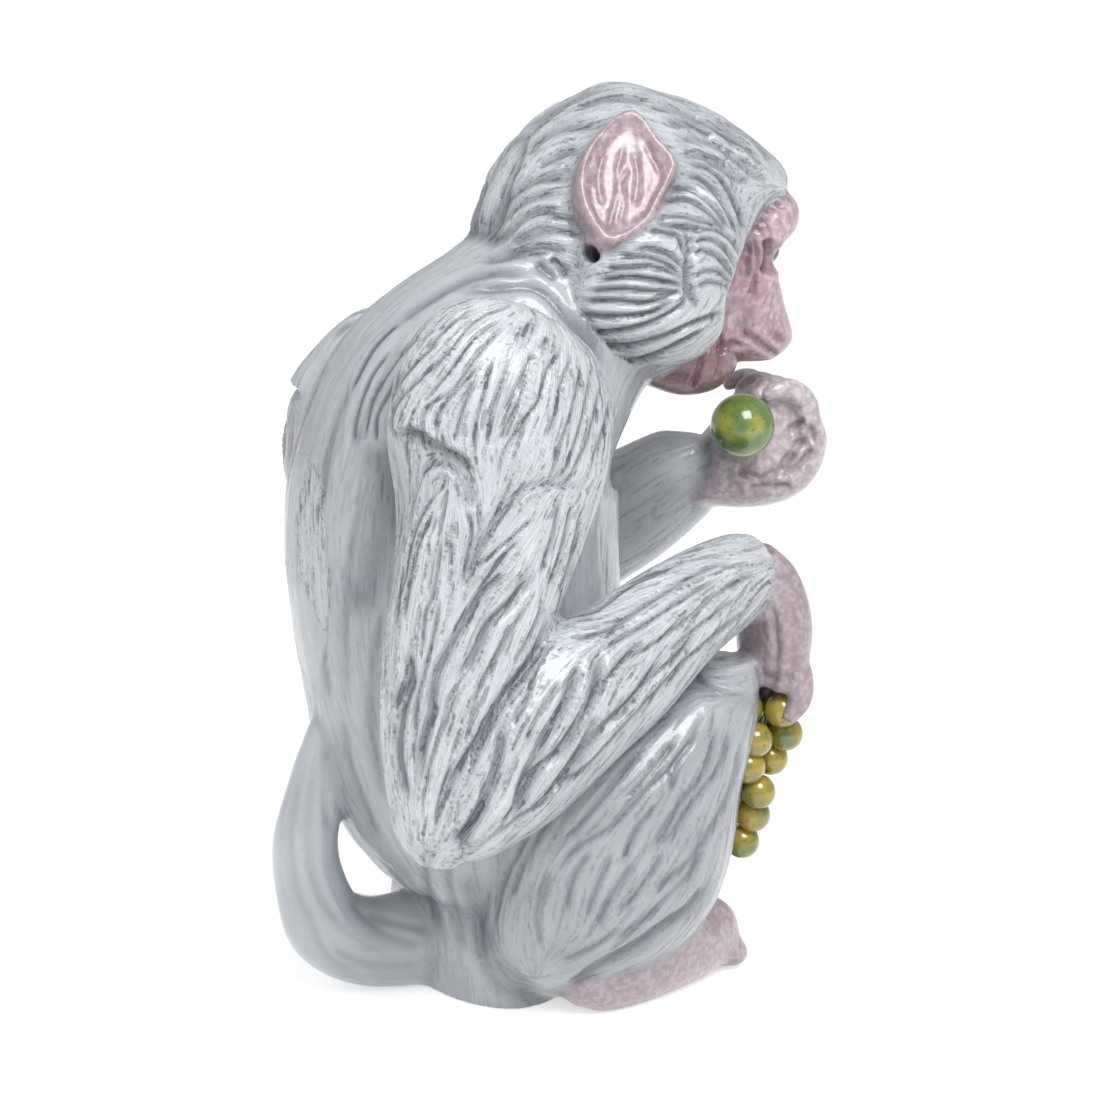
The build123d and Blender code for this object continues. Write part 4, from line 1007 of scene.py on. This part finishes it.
# Each piece is the part of the skin that lies on one form
def givePiece(name, material):
    index = nodeNames.index(name)
    faceOwner = owner[quads]
    agree = (faceOwner == faceOwner[:, :1]).all(axis=1)
    chosen = np.where(agree, faceOwner[:, 0], np.sort(faceOwner, axis=1)[:, 1]) == index
    own = quads[chosen]
    used, renumbered = np.unique(own, return_inverse=True)
    own = renumbered.reshape(own.shape)
    mesh = bpy.data.meshes.new(name)
    mesh.from_pydata(places[used], [], own)
    mesh.polygons.foreach_set("use_smooth", np.ones(len(mesh.polygons), bool))
    marks = {"groove": groove, "hollow": hollow, "blush": blush, "haired": haired, "pale": pale, "shade": shade}
    for key, values in marks.items():
        mesh.attributes.new(key, "FLOAT", "POINT").data.foreach_set("value", values[used].astype(np.float32))
    hair = mesh.attributes.new("flow", "FLOAT_VECTOR", "POINT")
    hair.data.foreach_set("vector", flow[used].astype(np.float32).ravel())
    mesh.update()
    mesh.normals_split_custom_set_from_vertices(normals[used].tolist())
    print(name, 2 * len(own), "triangles")
    piece = bpy.data.objects.new(name + "Clay", mesh)
    piece.data.materials.append(material)
    bpy.context.scene.collection.objects.link(piece)
    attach(piece, "root")
    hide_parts(name)
    return piece


# Strays: a point whose neighbours mostly belong to another form joins it
for _ in range(sculptValues["strayRounds"]):
    around = np.sort(owner[nearby], axis=1)
    middle = around[:, mostNearby // 2]
    owner = np.where((around == middle[:, None]).sum(1) >= sculptValues["strayNeighbours"], middle, owner)
for name in nodeNames:
    if name in skinNodes:
        givePiece(name, roseGlaze)
    else:
        givePiece(name, whiteGlaze)
print("pieces made")


# Eyes, fruit and stem keep their CAD shapes
plainColours = {
    # two colours and how fine they are mixed
    "darkGlaze": ((0.03, 0.02, 0.02), (0.08, 0.04, 0.03), 300.0),
    "greenGlaze": ((0.115, 0.21, 0.04), (0.36, 0.37, 0.06), 110.0),
    "yellowGlaze": ((0.40, 0.30, 0.035), (0.12, 0.18, 0.04), 85.0),
}
plainValues = {
    "mix": (3.0, 0.46, 0.66), "specks": (1.0, 0.66, 0.70), "speckScale": 9, "speckShare": 0.7,
    "speckColour": (0.09, 0.06, 0.02), "surface": {"Roughness": 0.25, "Coat Weight": 1.0, "Coat Roughness": 0.04},
}


def plainGlaze(name, first, second, scale, values):
    material, tree, shader = newMaterial(name)
    blend = mixColours(tree, noiseMask(tree, scale, *values["mix"]), first, second)
    specks = noiseMask(tree, scale * values["speckScale"], *values["specks"])
    blend = mixColours(tree, work(tree, "MULTIPLY", specks, values["speckShare"]), blend, values["speckColour"])
    tree.links.new(blend, shader.inputs["Base Color"])
    setInputs(shader, values["surface"])
    return material


darkGlaze, greenGlaze, yellowGlaze = [plainGlaze(name, *mix, plainValues) for name, mix in plainColours.items()]
for name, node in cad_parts.items():
    if name.startswith("bunch") or name in ("held_grape", *both("eye")):
        glaze = yellowGlaze if name.startswith("bunch") else greenGlaze if name == "held_grape" else darkGlaze
        node.data.materials.clear()
        node.data.materials.append(glaze)

# Floor, light and background
stageValues = {
    "floorSize": 8.0, "floorTop": -0.0003, "floorGlow": 0.57, "world": 0.52,
    "floor": {"Base Color": (0.90, 0.90, 0.90, 1), "Roughness": 0.9, "Emission Color": (1, 1, 1, 1)},
    # place, size and power of each lamp, and where they aim
    "keyLight": ((-0.62, 0.02, 0.85), 0.45, 6.2), "fillLight": ((-0.2, 0.8, 0.5), 0.6, 0.7), "aim": (0, 0, 0.15),
}


def makeStage(values):
    bpy.ops.mesh.primitive_plane_add(size=values["floorSize"], location=(0, 0, values["floorTop"]))
    floor = bpy.context.object
    floor.name = "floor"
    material, tree, shader = newMaterial("paleFloor")
    setInputs(shader, values["floor"])
    light = newNode(tree, "ShaderNodeLightPath")
    seen = work(tree, "MAXIMUM", light.outputs["Is Glossy Ray"], light.outputs["Is Transmission Ray"])
    seen = work(tree, "MAXIMUM", light.outputs["Is Camera Ray"], seen)
    tree.links.new(work(tree, "MULTIPLY", seen, values["floorGlow"]), shader.inputs["Emission Strength"])
    floor.data.materials.append(material)
    world = bpy.data.worlds.new("studio")
    bpy.context.scene.world = world
    world.use_nodes = True
    tree = world.node_tree
    background = tree.nodes["Background"]
    background.inputs["Color"].default_value = (1, 1, 1, 1)
    light = newNode(tree, "ShaderNodeLightPath")
    seen = work(tree, "MAXIMUM", light.outputs["Is Camera Ray"], light.outputs["Is Transmission Ray"])
    tree.links.new(work(tree, "MAXIMUM", seen, values["world"]), background.inputs["Strength"])
    for name in ("keyLight", "fillLight"):
        spot, size, power = values[name]
        data = bpy.data.lights.new(name, "AREA")
        data.size = size
        data.energy = power
        placeAt(bpy.data.objects.new(name, data), spot, Vector(values["aim"]) - Vector(spot))


makeStage(stageValues)
